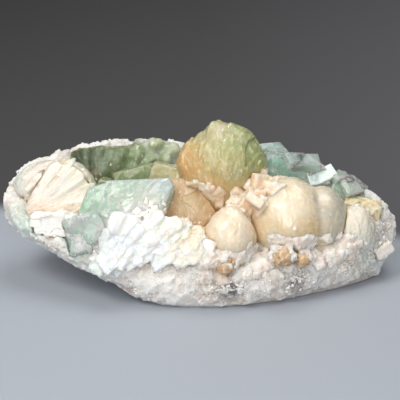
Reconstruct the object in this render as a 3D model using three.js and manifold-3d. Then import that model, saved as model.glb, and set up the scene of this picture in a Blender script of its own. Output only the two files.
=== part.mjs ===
// An apophyllite and stilbite cluster: a boat-shaped piece of white matrix whose open top carries peach
// stilbite domes, pearly stilbite sheaves and blocky clear and green apophyllite crystals.
// Millimetres. X runs along the length, Y away from the crystal side, Z up; the matrix stands on z = 0.

import * as THREE from "three";
import { ConvexGeometry } from "three/addons/geometries/ConvexGeometry.js";
import { LoftGeometry } from "three/addons/geometries/LoftGeometry.js";
import { ImprovedNoise } from "three/addons/math/ImprovedNoise.js";
import { mergeVertices } from "three/addons/utils/BufferGeometryUtils.js";
import Module from "manifold-3d";

const wasm = await Module();
wasm.setup();

// ---- Driving dimensions -------------------------------------------------------------------------

const LENGTH = 200; // tip to tip
const SEAT = 0.3; // gap left between a crystal and what it grew on or against
const STATIONS = 26; // cross-sections along the matrix
const SPAN_STEPS = 2; // points per span of a cross-section's outline
const TIP_CROWDING = 0.35; // how far the stations crowd towards the two tips
const FLAT_BELOW = 0.5; // the underside has no lumps below this height
const BROAD_LUMPS = { height: 2.0, across: 15 }; // swells of the matrix surface
const SMALL_KNOBS = { height: 1.1, across: 6 }; // knobs on those swells

const noise = new ImprovedNoise();

// ---- Solids from geometry and back --------------------------------------------------------------

/** The geometry's closed surface: positions alone, with shared vertices merged. */
function weld(geometry) {
  const bare = new THREE.BufferGeometry().setAttribute("position", geometry.attributes.position.clone());
  if (geometry.index) bare.setIndex(geometry.index.clone());
  return mergeVertices(bare, 1e-3);
}

function solidOf(geometry) {
  const welded = weld(geometry);
  return new wasm.Manifold(
    new wasm.Mesh({
      numProp: 3,
      vertProperties: welded.attributes.position.array,
      triVerts: new Uint32Array(welded.index.array),
    }),
  );
}

function geometryOf(solid) {
  const mesh = solid.getMesh();
  return new THREE.BufferGeometry()
    .setAttribute("position", new THREE.BufferAttribute(mesh.vertProperties, 3))
    .setIndex(new THREE.BufferAttribute(mesh.triVerts, 1));
}

function joined(solids) {
  return solids.reduce((all, solid) => all.add(solid));
}

/** Whether the boxes round two solids meet, so that one can cut the other. */
function near(one, other) {
  const [a, b] = [one, other].map((solid) => solid.boundingBox());
  return [0, 1, 2].every((axis) => a.min[axis] < b.max[axis] && b.min[axis] < a.max[axis]);
}

/** The biggest body of a solid that a cut may have left in several. */
function largest(solid) {
  return solid.decompose().reduce((best, body) => (body.volume() > best.volume() ? body : best));
}

/**
 * The solid grown outwards by a gap on every face, for cutting a seat that clears it.
 * Each corner is pushed until it clears all the faces that meet there.
 */
function grown(solid, gap) {
  const passes = 12;
  const longestPush = 3 * gap;
  const geometry = geometryOf(solid);
  const place = geometry.attributes.position;
  const index = geometry.index.array;
  const facings = Array.from({ length: place.count }, () => []);
  const [a, b, c] = [new THREE.Vector3(), new THREE.Vector3(), new THREE.Vector3()];
  for (let i = 0; i < index.length; i += 3) {
    const facing = new THREE.Vector3();
    const triangle = [a, b, c].map((corner, k) => corner.fromBufferAttribute(place, index[i + k]));
    new THREE.Triangle(...triangle).getNormal(facing);
    for (let k = 0; k < 3; k++) facings[index[i + k]].push(facing);
  }
  facings.forEach((around, i) => {
    const push = new THREE.Vector3();
    for (let pass = 0; pass < passes; pass++)
      for (const facing of around) {
        const short = gap - facing.dot(push);
        if (short > 0) push.addScaledVector(facing, short);
      }
    push.clampLength(0, longestPush);
    place.setXYZ(i, place.getX(i) + push.x, place.getY(i) + push.y, place.getZ(i) + push.z);
  });
  return solidOf(geometry);
}

/** A geometry turned by X, Y and Z angles in degrees and then carried to its place. */
function placed(geometry, at, turn = [0, 0, 0]) {
  const angles = new THREE.Euler(...turn.map(THREE.MathUtils.degToRad), "XYZ");
  return geometry.applyMatrix4(new THREE.Matrix4().makeRotationFromEuler(angles).setPosition(...at));
}

/** A repeatable number from 0 to 1 for a piece's own small irregularities. */
function scatter(seed) {
  const wave = Math.sin(seed * 127.1 + 311.7) * 43758.5453;
  return wave - Math.floor(wave);
}

/** A smooth value along the length through [x, value] knots. */
function profile(...knots) {
  const curve = new THREE.CubicInterpolant(
    knots.map((knot) => knot[0]),
    knots.map((knot) => knot[1]),
    1,
  );
  return (x) => curve.evaluate(x)[0];
}

// ---- Matrix -------------------------------------------------------------------------------------

// Seen from above: the widest front and back edges, and the edges of the flat underside.
const END = LENGTH / 2;
const frontEdge = profile(
  [-END, -5], [-96, -14], [-82, -26], [-56, -39], [-25, -47], [0, -49],
  [30, -46], [54, -38], [75, -27], [91, -14], [END, -3],
);
const backEdge = profile(
  [-END, 5], [-96, 13], [-82, 26], [-56, 39], [-25, 47], [0, 49],
  [30, 47], [54, 40], [75, 28], [91, 15], [END, 3],
);
const soleFront = profile(
  [-END, -2], [-82, -15], [-56, -29], [-25, -42], [0, -46],
  [30, -41], [54, -31], [75, -20], [91, -9], [END, -1],
);
const soleBack = profile(
  [-END, 2], [-82, 13], [-56, 24], [-25, 34], [0, 38],
  [30, 37], [54, 29], [75, 19], [91, 8], [END, 1],
);

// Seen from the front: the underside, the front crest, the floor between the crests and the back crest.
const keel = profile(
  [-END, 37], [-96, 29], [-82, 21], [-56, 12], [-38, 6], [-22, 0],
  [0, 0], [54, 0], [75, 0], [88, 1], [96, 10], [END, 20],
);
const frontCrest = profile(
  [-END, 42], [-92, 38], [-82, 34], [-56, 26], [-25, 20], [0, 19],
  [30, 19], [54, 21], [75, 24], [91, 30], [END, 26],
);
const innerFloor = profile(
  [-END, 43], [-92, 42], [-82, 39], [-60, 34], [-38, 34], [-15, 36],
  [10, 38], [40, 38], [66, 38], [84, 37], [95, 34], [END, 28],
);
const backCrest = profile(
  [-END, 44], [-96, 49], [-82, 55], [-60, 59], [-38, 60], [-15, 57],
  [10, 51], [40, 49], [66, 46], [84, 40], [95, 35], [END, 29],
);

/** The closed outline of the matrix at a station, from its width and its heights there. */
function sectionCurve(x) {
  const front = frontEdge(x);
  const back = backEdge(x);
  const low = keel(x);
  const nearTop = frontCrest(x);
  const farTop = backCrest(x);
  const floor = Math.min(innerFloor(x), farTop - 1);
  const middle = (front + back) / 2;
  const half = (back - front) / 2;
  const mix = THREE.MathUtils.lerp;
  const outline = [
    [middle, low],
    [soleBack(x), low],
    [back - 0.1 * half, mix(low, farTop, 0.38)],
    [back, mix(low, farTop, 0.72)],
    [back - 0.1 * half, farTop],
    [back - 0.26 * half, mix(farTop, floor, 0.25)],
    [middle + 0.42 * half, floor],
    [middle - 0.3 * half, floor],
    [front + 0.36 * half, mix(nearTop, floor, 0.25)],
    [front + 0.1 * half, nearTop],
    [front, mix(low, nearTop, 0.55)],
    [soleFront(x), low],
  ].map(([y, z]) => new THREE.Vector3(x, y, z));
  return new THREE.CatmullRomCurve3(outline, true, "centripetal");
}

/** How far the crust stands out at a point: broad swells with smaller knobs on them. */
function crustRelief(p) {
  return [BROAD_LUMPS, SMALL_KNOBS].reduce(
    (sum, { height, across }) => sum + height * noise.noise(p.x / across, p.y / across, p.z / across),
    0,
  );
}

/** Points of the lumpy matrix surface at a station, evenly from one span of its outline to another. */
function roughSection(x, fromSpan, toSpan, count) {
  const curve = sectionCurve(x);
  const spans = curve.points.length;
  const heart = curve.points.reduce((sum, p) => sum.add(p), new THREE.Vector3()).divideScalar(spans);
  return Array.from({ length: count }, (_, i) => {
    const p = curve.getPoint((fromSpan + ((toSpan - fromSpan) * i) / count) / spans);
    const outward = p.clone().sub(heart).normalize();
    if (p.z > FLAT_BELOW) p.addScaledVector(outward, crustRelief(p));
    p.z = Math.max(p.z, 0);
    return p;
  });
}

function matrixSolid() {
  const spans = sectionCurve(0).points.length;
  const sections = Array.from({ length: STATIONS + 1 }, (_, i) => {
    const even = (2 * i) / STATIONS - 1;
    const crowded = -Math.cos((Math.PI * i) / STATIONS);
    const x = END * THREE.MathUtils.lerp(even, crowded, TIP_CROWDING);
    return roughSection(x, 0, spans, spans * SPAN_STEPS);
  });
  return solidOf(new LoftGeometry(sections, { capStart: true, capEnd: true }));
}

/** The curtain of small crystals that lines the back wall of the hollow, with its face set off the rock. */
function hollowCurtain({ from, to, steps, rows, thickness, depthInRock }) {
  const sections = [];
  for (let i = 0; i <= steps; i++) {
    const x = THREE.MathUtils.lerp(from, to, i / steps);
    const wall = roughSection(x, 4.45, 6.2, rows);
    const nearEnd = Math.sqrt(Math.sin((Math.PI * (i + 0.2)) / (steps + 0.4)));
    const face = wall.map((p, k) => {
      const nearEdge = Math.sqrt(Math.sin((Math.PI * (k + 0.25)) / (rows - 0.5)));
      const lump = 1 + 0.9 * noise.noise(x / 5.5, 3.7, p.z / 9);
      const out = thickness * lump * nearEnd * nearEdge;
      return new THREE.Vector3(x, p.y - 0.75 * out, p.z + 0.66 * out);
    });
    const root = wall.map((p) => new THREE.Vector3(x, p.y + depthInRock, p.z - depthInRock));
    sections.push([...face, ...root.reverse()]);
  }
  return solidOf(new LoftGeometry(sections, { capStart: true, capEnd: true }));
}

// ---- Apophyllite --------------------------------------------------------------------------------

/** A blocky apophyllite: a square prism whose corners are cut by small pyramid faces. */
function apophyllite({ size: [width, depth, height], cut = 0.22, seed = 1 }) {
  const points = [];
  for (const sx of [-1, 1])
    for (const sy of [-1, 1])
      for (const sz of [-1, 1]) {
        const own = 0.5 + scatter(seed * 8 + points.length);
        const c = cut * Math.min(width, depth, height) * own;
        points.push(
          new THREE.Vector3(sx * (width / 2 - c), (sy * depth) / 2, (sz * height) / 2),
          new THREE.Vector3((sx * width) / 2, sy * (depth / 2 - c), (sz * height) / 2),
          new THREE.Vector3((sx * width) / 2, (sy * depth) / 2, sz * (height / 2 - c)),
        );
      }
  return new ConvexGeometry(points);
}

/** A crystal known by its broad front face, running back into the cluster and narrowing a little. */
function faced({ face, back, taper = 0.86 }) {
  const front = face.map((corner) => new THREE.Vector3(...corner));
  const heart = front.reduce((sum, p) => sum.add(p), new THREE.Vector3()).divideScalar(front.length);
  const run = new THREE.Vector3(...back);
  const edge = front.map((p) => p.clone().lerp(heart, -0.05).addScaledVector(run, 0.14));
  const root = front.map((p) => p.clone().lerp(heart, 1 - taper).add(run));
  return new ConvexGeometry([...front, ...edge, ...root]);
}

/** Crystals with broad front faces grown into each other, as one solid. */
function facedGroup(...list) {
  return joined(list.map((crystal) => solidOf(faced(crystal))));
}

/** Apophyllite blocks grown into each other, as one solid. */
function blocks(...list) {
  return joined(list.map((b, i) => solidOf(placed(apophyllite({ seed: i + 1, ...b }), b.at, b.turn))));
}

// ---- Stilbite -----------------------------------------------------------------------------------

/** Directions spread evenly over a ball, each nudged a little along its own spiral. */
function bladeEnds(count, seed) {
  const golden = Math.PI * (3 - Math.sqrt(5));
  return Array.from({ length: count }, (_, i) => {
    const height = 1 - (2 * (i + 0.5)) / count;
    const angle = i * golden + 1.2 * scatter(seed * 50 + i);
    const across = Math.sqrt(1 - height * height);
    return new THREE.Vector3(Math.cos(angle) * across, Math.sin(angle) * across, height);
  });
}

/**
 * A stilbite dome: a rounded body of upright blades whose ends roughen its surface.
 * Lobes are swellings towards a direction; the blade ends are taller than they are wide.
 */
function dome({ at, radii, detail = 5, lobes = [], ends = 50, relief = 0.05, seed = 1 }) {
  const tallness = 2.6;
  const ball = weld(new THREE.IcosahedronGeometry(1, detail));
  const place = ball.attributes.position;
  const tips = bladeEnds(ends, seed);
  const spacing = Math.sqrt((4 * Math.PI) / ends);
  const d = new THREE.Vector3();
  const towardsLobe = new THREE.Vector3();
  for (let i = 0; i < place.count; i++) {
    d.fromBufferAttribute(place, i).normalize();
    let reach = 1 / Math.hypot(d.x / radii[0], d.y / radii[1], d.z / radii[2]);
    for (const { towards, swell, spread } of lobes) {
      const angle = d.angleTo(towardsLobe.set(...towards));
      reach *= 1 + swell * Math.exp(-((angle / spread) ** 2));
    }
    const toTip = tips.map((tip) => Math.hypot(d.x - tip.x, d.y - tip.y, (d.z - tip.z) / tallness));
    reach *= 1 + relief * (1 - Math.min(...toTip) / (0.5 * spacing));
    place.setXYZ(i, at[0] + d.x * reach, at[1] + d.y * reach, at[2] + d.z * reach);
  }
  return solidOf(ball);
}

/** Domes grown into each other, as one solid. */
function domes(...list) {
  return joined(list.map(dome));
}

/** One stilbite blade lying along +X from its root: a wedge-shaped plate with a blunt point. */
function blade(length, width, thickness) {
  const outline = new THREE.Shape();
  outline.moveTo(0, -0.18 * width);
  outline.lineTo(0.86 * length, -0.5 * width);
  outline.lineTo(length, -0.14 * width);
  outline.lineTo(0.97 * length, 0.28 * width);
  outline.lineTo(0.84 * length, 0.5 * width);
  outline.lineTo(0, 0.18 * width);
  const plate = new THREE.ExtrudeGeometry(outline, { depth: thickness, bevelEnabled: false });
  return plate.translate(0, 0, -thickness / 2).rotateX(Math.PI / 2);
}

/**
 * A stilbite sheaf: blades fanned about a common root, as one solid. Before it is turned the fan lies
 * in the XZ plane with its blades' flat sides towards -Y; angles run from +X up towards +Z.
 */
function sheaf({ at, turn, from, to, count, length, width, thickness, seed = 1 }) {
  const plates = Array.from({ length: count }, (_, i) => {
    const share = count > 1 ? i / (count - 1) : 0.5;
    const own = scatter(seed * 31 + i);
    const reach = length * (0.88 + 0.08 * Math.sin(Math.PI * share) + 0.08 * own);
    const plate = blade(reach, width, thickness * (0.75 + 0.35 * own));
    plate.rotateY(-THREE.MathUtils.degToRad(THREE.MathUtils.lerp(from, to, share)));
    return solidOf(placed(plate, at, turn));
  });
  return joined(plates);
}

// ---- The pieces, in the order in which they keep their shape ------------------------------------

const PEARL = { color: 0xf1ebe0, roughness: 0.35 };
const PEACH = { color: 0xe8cfa2, roughness: 0.4 };
const HONEY = { color: 0xd3b27a, roughness: 0.35 };
const GREEN = { color: 0xa9c4a0, roughness: 0.12 };
const MOSS = { color: 0x7f9464, roughness: 0.3 };
const CLEAR = { color: 0xc3dcd2, roughness: 0.08 };
const WHITE = { color: 0xf6f6f1, roughness: 0.4 };
const ROCK = { color: 0xdcd9d3, roughness: 0.75 };

const pieces = [
  ["honey_crystal", HONEY, facedGroup({
    face: [[-15, -7, 52], [-7, -7, 53], [2, -11, 46], [7.5, -16, 38], [1, -21, 32], [-20, -18, 37]],
    back: [-1, 13, -11],
  })],
  ["green_apophyllite", GREEN, facedGroup(
    {
      face: [[-47, -12, 53.5], [-16, -15, 56], [-14, -18, 53], [-20, -28, 41], [-34, -35, 34], [-50, -26, 41]],
      back: [2, 10, -13],
    },
    {
      face: [[-56, -12, 50], [-46, -12, 52.5], [-44, -26, 42], [-43, -40, 26], [-52, -39, 26], [-61, -22, 39]],
      back: [3, 11, -10],
    },
  )],
  ["clear_apophyllite", CLEAR, blocks({ size: [25, 16, 18], cut: 0.2, at: [43, 9, 51], turn: [-8, 12, 6] })],
  ["clear_wedge", CLEAR, blocks({ size: [14, 11, 12], cut: 0.12, at: [60, 7, 48.5], turn: [-16, 32, 14] })],
  ["green_side_block", GREEN, blocks({ size: [17, 14, 15], cut: 0.2, at: [73, 5, 41], turn: [-12, 22, 8] })],
  ["honey_side_block", HONEY, blocks({ size: [18, 10, 11], cut: 0.25, at: [82, -4, 35], turn: [-14, 8, -4] })],
  ["grey_apophyllite", CLEAR, blocks({ size: [18, 14, 17], cut: 0.2, at: [-57, -29, 31], turn: [-24, -14, 12] })],
  ["white_plate", WHITE, blocks({ size: [25, 13, 11], cut: 0.25, at: [-70, -22, 34], turn: [-18, 4, -14] })],
  ["white_block", WHITE, blocks({ size: [11, 10, 13], cut: 0.2, at: [1, -40, 27], turn: [-20, 20, -12] })],
  ["tip_crystal", WHITE, blocks({ size: [10, 7, 6], cut: 0.12, at: [92, -11, 16], turn: [0, -26, 24] })],
  ["hollow_block", MOSS, blocks(
    { size: [22, 16, 17], cut: 0.2, at: [-33, 13, 43], turn: [-16, -14, 6] },
    { size: [13, 14, 12], cut: 0.2, at: [-47, 8, 40], turn: [-10, 20, -8] },
  )],
  ["yellow_block", GREEN, blocks({ size: [18, 15, 16], cut: 0.2, at: [-17, 9, 46], turn: [-14, 16, -6] })],
  ["back_blocks", CLEAR, blocks(
    { size: [19, 15, 15], cut: 0.2, at: [5, 27, 43], turn: [10, 12, 20] },
    { size: [15, 14, 16], cut: 0.2, at: [22, 28, 43], turn: [-8, -14, 40] },
    { size: [19, 13, 13], cut: 0.2, at: [38, 26, 42], turn: [14, 10, 8] },
  )],
  ["peach_blocks", PEACH, blocks(
    { size: [13, 11, 16], cut: 0.2, at: [26, -10, 46], turn: [-8, 14, 20] },
    { size: [9, 8, 13], cut: 0.2, at: [18, -18, 43], turn: [-14, 22, -6] },
  )],
  ["matrix", ROCK, matrixSolid()],
  ["stilbite_ball", PEACH, dome({
    at: [10.5, -1, 58], radii: [20.5, 17, 17.5], detail: 5, ends: 80, relief: 0.06, seed: 3,
    lobes: [
      { towards: [-0.12, 0.25, 1], swell: 0.3, spread: 0.42 },
      { towards: [0.55, 0.2, 0.8], swell: 0.2, spread: 0.3 },
      { towards: [1, 0.1, 0.25], swell: 0.13, spread: 0.35 },
      { towards: [-1, 0, 0.1], swell: 0.1, spread: 0.5 },
      { towards: [0.05, -0.35, -1], swell: 0.45, spread: 0.45 },
      { towards: [-0.75, -0.3, -0.8], swell: -0.22, spread: 0.35 },
    ],
  })],
  ["stilbite_domes", PEACH, domes(
    { at: [43, -15, 34], radii: [19.5, 22, 21], detail: 4, ends: 60, relief: 0.035, seed: 5 },
    { at: [60, -13, 33], radii: [13.5, 16, 17], detail: 3, ends: 36, relief: 0.035, seed: 6 },
    { at: [30, -15, 36], radii: [8, 9, 12], detail: 1, ends: 12, relief: 0.04, seed: 7 },
  )],
  ["front_dome", PEACH, dome({
    at: [14, -32, 29], radii: [12.8, 12.5, 16.5], detail: 3, ends: 40, relief: 0.045, seed: 8,
    lobes: [{ towards: [0.1, 0.1, 1], swell: 0.1, spread: 0.3 }],
  })],
  ["pearl_fan", PEARL, sheaf({
    at: [-87, -13, 38], turn: [-14, 0, 8], from: -4, to: 54, count: 7, length: 33, width: 9, thickness: 11, seed: 2,
  })],
  ["left_dome", PEARL, dome({
    at: [-74, 2, 46], radii: [21, 14, 13], detail: 3, ends: 40, relief: 0.05, seed: 9,
    lobes: [{ towards: [0.6, -0.5, 0.6], swell: 0.08, spread: 0.5 }],
  })],
  ["white_sheaf", WHITE, sheaf({
    at: [-46, -42, 20], turn: [-20, 0, 6], from: 20, to: 76, count: 5, length: 29, width: 9, thickness: 9, seed: 4,
  })],
  ["cream_sheaf", PEARL, sheaf({
    at: [-20, -39, 23], turn: [-22, 0, 4], from: 14, to: 88, count: 4, length: 22, width: 9, thickness: 9, seed: 5,
  })],
  ["white_cube", WHITE, blocks({ size: [5, 5, 6], cut: 0.1, at: [30, -25, 47], turn: [-12, 30, 24] })],
  ["shoulder_dome", PEARL, dome({
    at: [77, -14, 26], radii: [11, 11, 15], detail: 3, ends: 30, relief: 0.04, seed: 10,
  })],
  ["orange_bud_left", PEACH, dome({ at: [12, -46, 22], radii: [5.5, 4, 5], detail: 1, ends: 9, seed: 11 })],
  ["orange_bud_middle", PEACH, dome({ at: [39, -42, 25], radii: [6.5, 5, 5], detail: 1, ends: 9, seed: 12 })],
  ["orange_bud_right", PEACH, dome({ at: [49, -38, 22], radii: [4.5, 5, 3.5], detail: 1, ends: 9, seed: 13 })],
  ["hollow_crust", MOSS, joined([
    hollowCurtain({ from: -70, to: -12, steps: 10, rows: 5, thickness: 6, depthInRock: 2 }),
    domes(
      { at: [-41, 37, 53.5], radii: [4.5, 4.5, 5], detail: 1, ends: 9, seed: 24 },
      { at: [-33, 37, 55], radii: [5.5, 5, 5.5], detail: 1, ends: 9, seed: 25 },
      { at: [-24, 37, 56], radii: [5.5, 5, 5.5], detail: 1, ends: 9, seed: 26 },
      { at: [-16, 35, 54], radii: [4.5, 4.5, 5], detail: 1, ends: 9, seed: 27 },
    ),
  ])],
];

const specimen = new THREE.Group();
const seats = [];
for (const [name, look, shape] of pieces) {
  const inTheWay = seats.filter((seat) => near(seat, shape));
  const solid = largest(inTheWay.reduce((left, seat) => left.subtract(seat), shape));
  seats.push(grown(solid, SEAT));
  const geometry = geometryOf(solid);
  geometry.computeBoundingBox();
  const middle = geometry.boundingBox.getCenter(new THREE.Vector3());
  geometry.translate(-middle.x, -middle.y, -middle.z);
  const mesh = new THREE.Mesh(geometry, new THREE.MeshStandardMaterial({ ...look, metalness: 0 }));
  mesh.name = name;
  mesh.position.copy(middle);
  specimen.add(mesh);
}

// The origin is under the middle of the whole specimen, on the surface that it stands on.
const whole = new THREE.Box3().setFromObject(specimen, true);
const middle = whole.getCenter(new THREE.Vector3());
specimen.position.set(-middle.x, -middle.y, -whole.min.z);

export default specimen;
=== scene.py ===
"""A crystal specimen dressed over its solids: stilbite and apophyllite in a boat-shaped piece of rock.

Shapes are worked out in millimetres, in the frame of the solids, and reach Blender in metres.
"""

from __future__ import annotations

import logging
import math
from collections.abc import Callable
from dataclasses import dataclass
from enum import Enum
from itertools import product

import bmesh
import bpy
import numpy as np
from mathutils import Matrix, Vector


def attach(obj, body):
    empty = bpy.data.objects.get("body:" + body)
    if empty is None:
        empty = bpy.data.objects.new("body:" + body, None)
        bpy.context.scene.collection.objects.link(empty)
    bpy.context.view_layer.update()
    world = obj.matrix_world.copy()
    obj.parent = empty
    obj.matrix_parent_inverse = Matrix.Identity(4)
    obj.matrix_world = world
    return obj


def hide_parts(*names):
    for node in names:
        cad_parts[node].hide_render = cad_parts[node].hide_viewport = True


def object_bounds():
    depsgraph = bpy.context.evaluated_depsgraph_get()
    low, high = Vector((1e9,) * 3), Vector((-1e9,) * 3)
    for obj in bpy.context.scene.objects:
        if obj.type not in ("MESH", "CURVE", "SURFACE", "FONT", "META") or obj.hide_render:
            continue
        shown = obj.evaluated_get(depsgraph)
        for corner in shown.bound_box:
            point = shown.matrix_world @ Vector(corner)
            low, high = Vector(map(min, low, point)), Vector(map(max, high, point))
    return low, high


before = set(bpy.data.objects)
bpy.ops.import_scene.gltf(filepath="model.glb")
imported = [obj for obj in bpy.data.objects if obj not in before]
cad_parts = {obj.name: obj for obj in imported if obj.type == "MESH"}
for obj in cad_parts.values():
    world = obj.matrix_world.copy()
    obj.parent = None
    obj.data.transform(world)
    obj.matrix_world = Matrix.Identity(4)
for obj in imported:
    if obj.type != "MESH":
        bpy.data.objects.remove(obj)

Array = np.ndarray
Pair = tuple[float, float]
Triple = tuple[float, float, float]
Path = tuple[Triple, ...]
Colour = tuple[float, float, float, float]
StainOrLightPatch = tuple[Colour, Triple, float, float, float]
Weigh = Callable[[Array, Array], Array]
Socket = bpy.types.NodeSocket

log = logging.getLogger("specimen")

MM = 0.001
BODY = "root"
CAD_BOX = [list(corner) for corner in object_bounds()]
BOX_LOW, BOX_HIGH = (np.array(corner) / MM for corner in CAD_BOX)
BOX_MARGIN = 0.02  # millimetres that stay free inside the box
PAINTED_LIGHT = "tone"  # the mesh attribute that holds the painted light: low for painted shade, high for painted highlight
TINY = 1e-9  # keeps lengths and weights above zero
MERGE_DIGITS = 3  # points that agree to so many digits of a millimetre are one
NO_CREASE = 180.0  # a turn that no edge makes, in degrees
EVEN = (1.0, 1.0, 1.0)


class Slot(Enum):
    """The record's material slots."""

    ROCK = "matrix_rock"
    PEACH = "peach_stilbite"
    PEARL = "pearl_stilbite"
    HONEY = "honey_stilbite"
    WHITE = "white_crystal"
    GREEN = "green_apophyllite"
    CLEAR = "clear_apophyllite"
    MOSS = "moss_druse"


def unit(vectors: Array) -> Array:
    """One vector or rows of them, brought to length one."""
    vectors = np.asarray(vectors, float)
    return vectors / np.maximum(np.linalg.norm(vectors, axis=-1, keepdims=True), TINY)


def dots(first: Array, second: Array) -> Array:
    """The dot product of each pair of rows."""
    return np.einsum("ij,ij->i", first, second)


def square_to(ways: Array, axes: Array) -> Array:
    """Each way's part that is square to its axis, at length one."""
    return unit(ways - axes * dots(ways, axes)[:, None])


def eased(values: Array, start: float, end: float) -> Array:
    """A smooth step for each value: 0 up to start, 1 from end on."""
    share = np.clip((values - start) / (end - start), 0, 1)
    return share * share * (3 - 2 * share)


class Noise:
    """Seeded noise in space, smooth or broken into cells."""

    SIZE = 256
    HEIGHT = 1.6
    LAYER_SHIFT = 17.3
    FAR = 9.0

    def __init__(self, seed: int) -> None:
        """Draws the lattice's gradients and jitters.

        Args:
            seed: the same seed gives the same noise.
        """
        rng = np.random.default_rng(seed)
        self.table = rng.permutation(self.SIZE)
        self.slopes = unit(rng.normal(size=(self.SIZE, 3)))
        self.jitter = rng.random((self.SIZE, 3))
        self.levels = rng.random(self.SIZE)

    def keys(self, cell: Array) -> Array:
        """Each lattice cell's place in the tables."""
        mask = self.SIZE - 1
        first = self.table[cell[:, 0] & mask]
        second = self.table[(first + cell[:, 1]) & mask]
        return self.table[(second + cell[:, 2]) & mask]

    def smooth(self, points: Array, size: float) -> Array:
        """Gradient noise.

        Args:
            points: rows of places.
            size: the width of a lump.

        Returns:
            A value for each place, mostly from -1 to 1.
        """
        scaled = points / size
        cell = np.floor(scaled).astype(int)
        part = scaled - cell
        fade = part**3 * (part * (part * 6 - 15) + 10)
        total = np.zeros(len(points))
        for corner in product((0, 1), repeat=3):
            offset = np.array(corner)
            slope = self.slopes[self.keys(cell + offset)]
            weight = np.prod(np.where(offset, fade, 1 - fade), axis=1)
            total += weight * dots(slope, part - offset)
        return total * self.HEIGHT

    def layered(self, points: Array, size: float, layers: int = 4, keep: float = 0.5) -> Array:
        """Several sizes of gradient noise added up.

        Args:
            points: rows of places.
            size: the width of the widest lumps.
            layers: how many sizes, each half the one before.
            keep: each size's height as a share of the one before.

        Returns:
            A value for each place, mostly from -1 to 1.
        """
        total = np.zeros(len(points))
        for layer in range(layers):
            total += keep**layer * self.smooth(points + self.LAYER_SHIFT * layer, size / 2**layer)
        return total

    def cells(self, points: Array, size: float) -> tuple[Array, Array, Array, Array]:
        """The nearest of scattered centres, one to a lattice cell.

        Args:
            points: rows of places.
            size: the spacing of the centres.

        Returns:
            The centre's key, the offset from it, its distance, and how far the border is.
        """
        scaled = points / size
        base = np.floor(scaled).astype(int)
        near = np.full(len(points), self.FAR)
        second = near.copy()
        key = np.zeros(len(points), int)
        offset = np.zeros_like(scaled)
        for step in product((-1, 0, 1), repeat=3):
            cell = base + np.array(step)
            here = self.keys(cell)
            reach = scaled - cell - self.jitter[here]
            distance = np.linalg.norm(reach, axis=1)
            closer = distance < near
            second = np.where(closer, near, np.minimum(second, distance))
            near = np.where(closer, distance, near)
            key = np.where(closer, here, key)
            offset[closer] = reach[closer]
        return key, offset * size, near * size, (second - near) * size

    def facets(self, points: Array, size: float, tilt: float) -> Array:
        """Flat facets, each at its own height and slope.

        Args:
            points: rows of places.
            size: the width of a facet.
            tilt: the steepest slope.

        Returns:
            The height of each place.
        """
        key, offset, _, _ = self.cells(points, size)
        slope = dots(self.slopes[key], offset) * tilt
        return slope + (self.levels[key] - 0.5) * size * tilt


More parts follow.
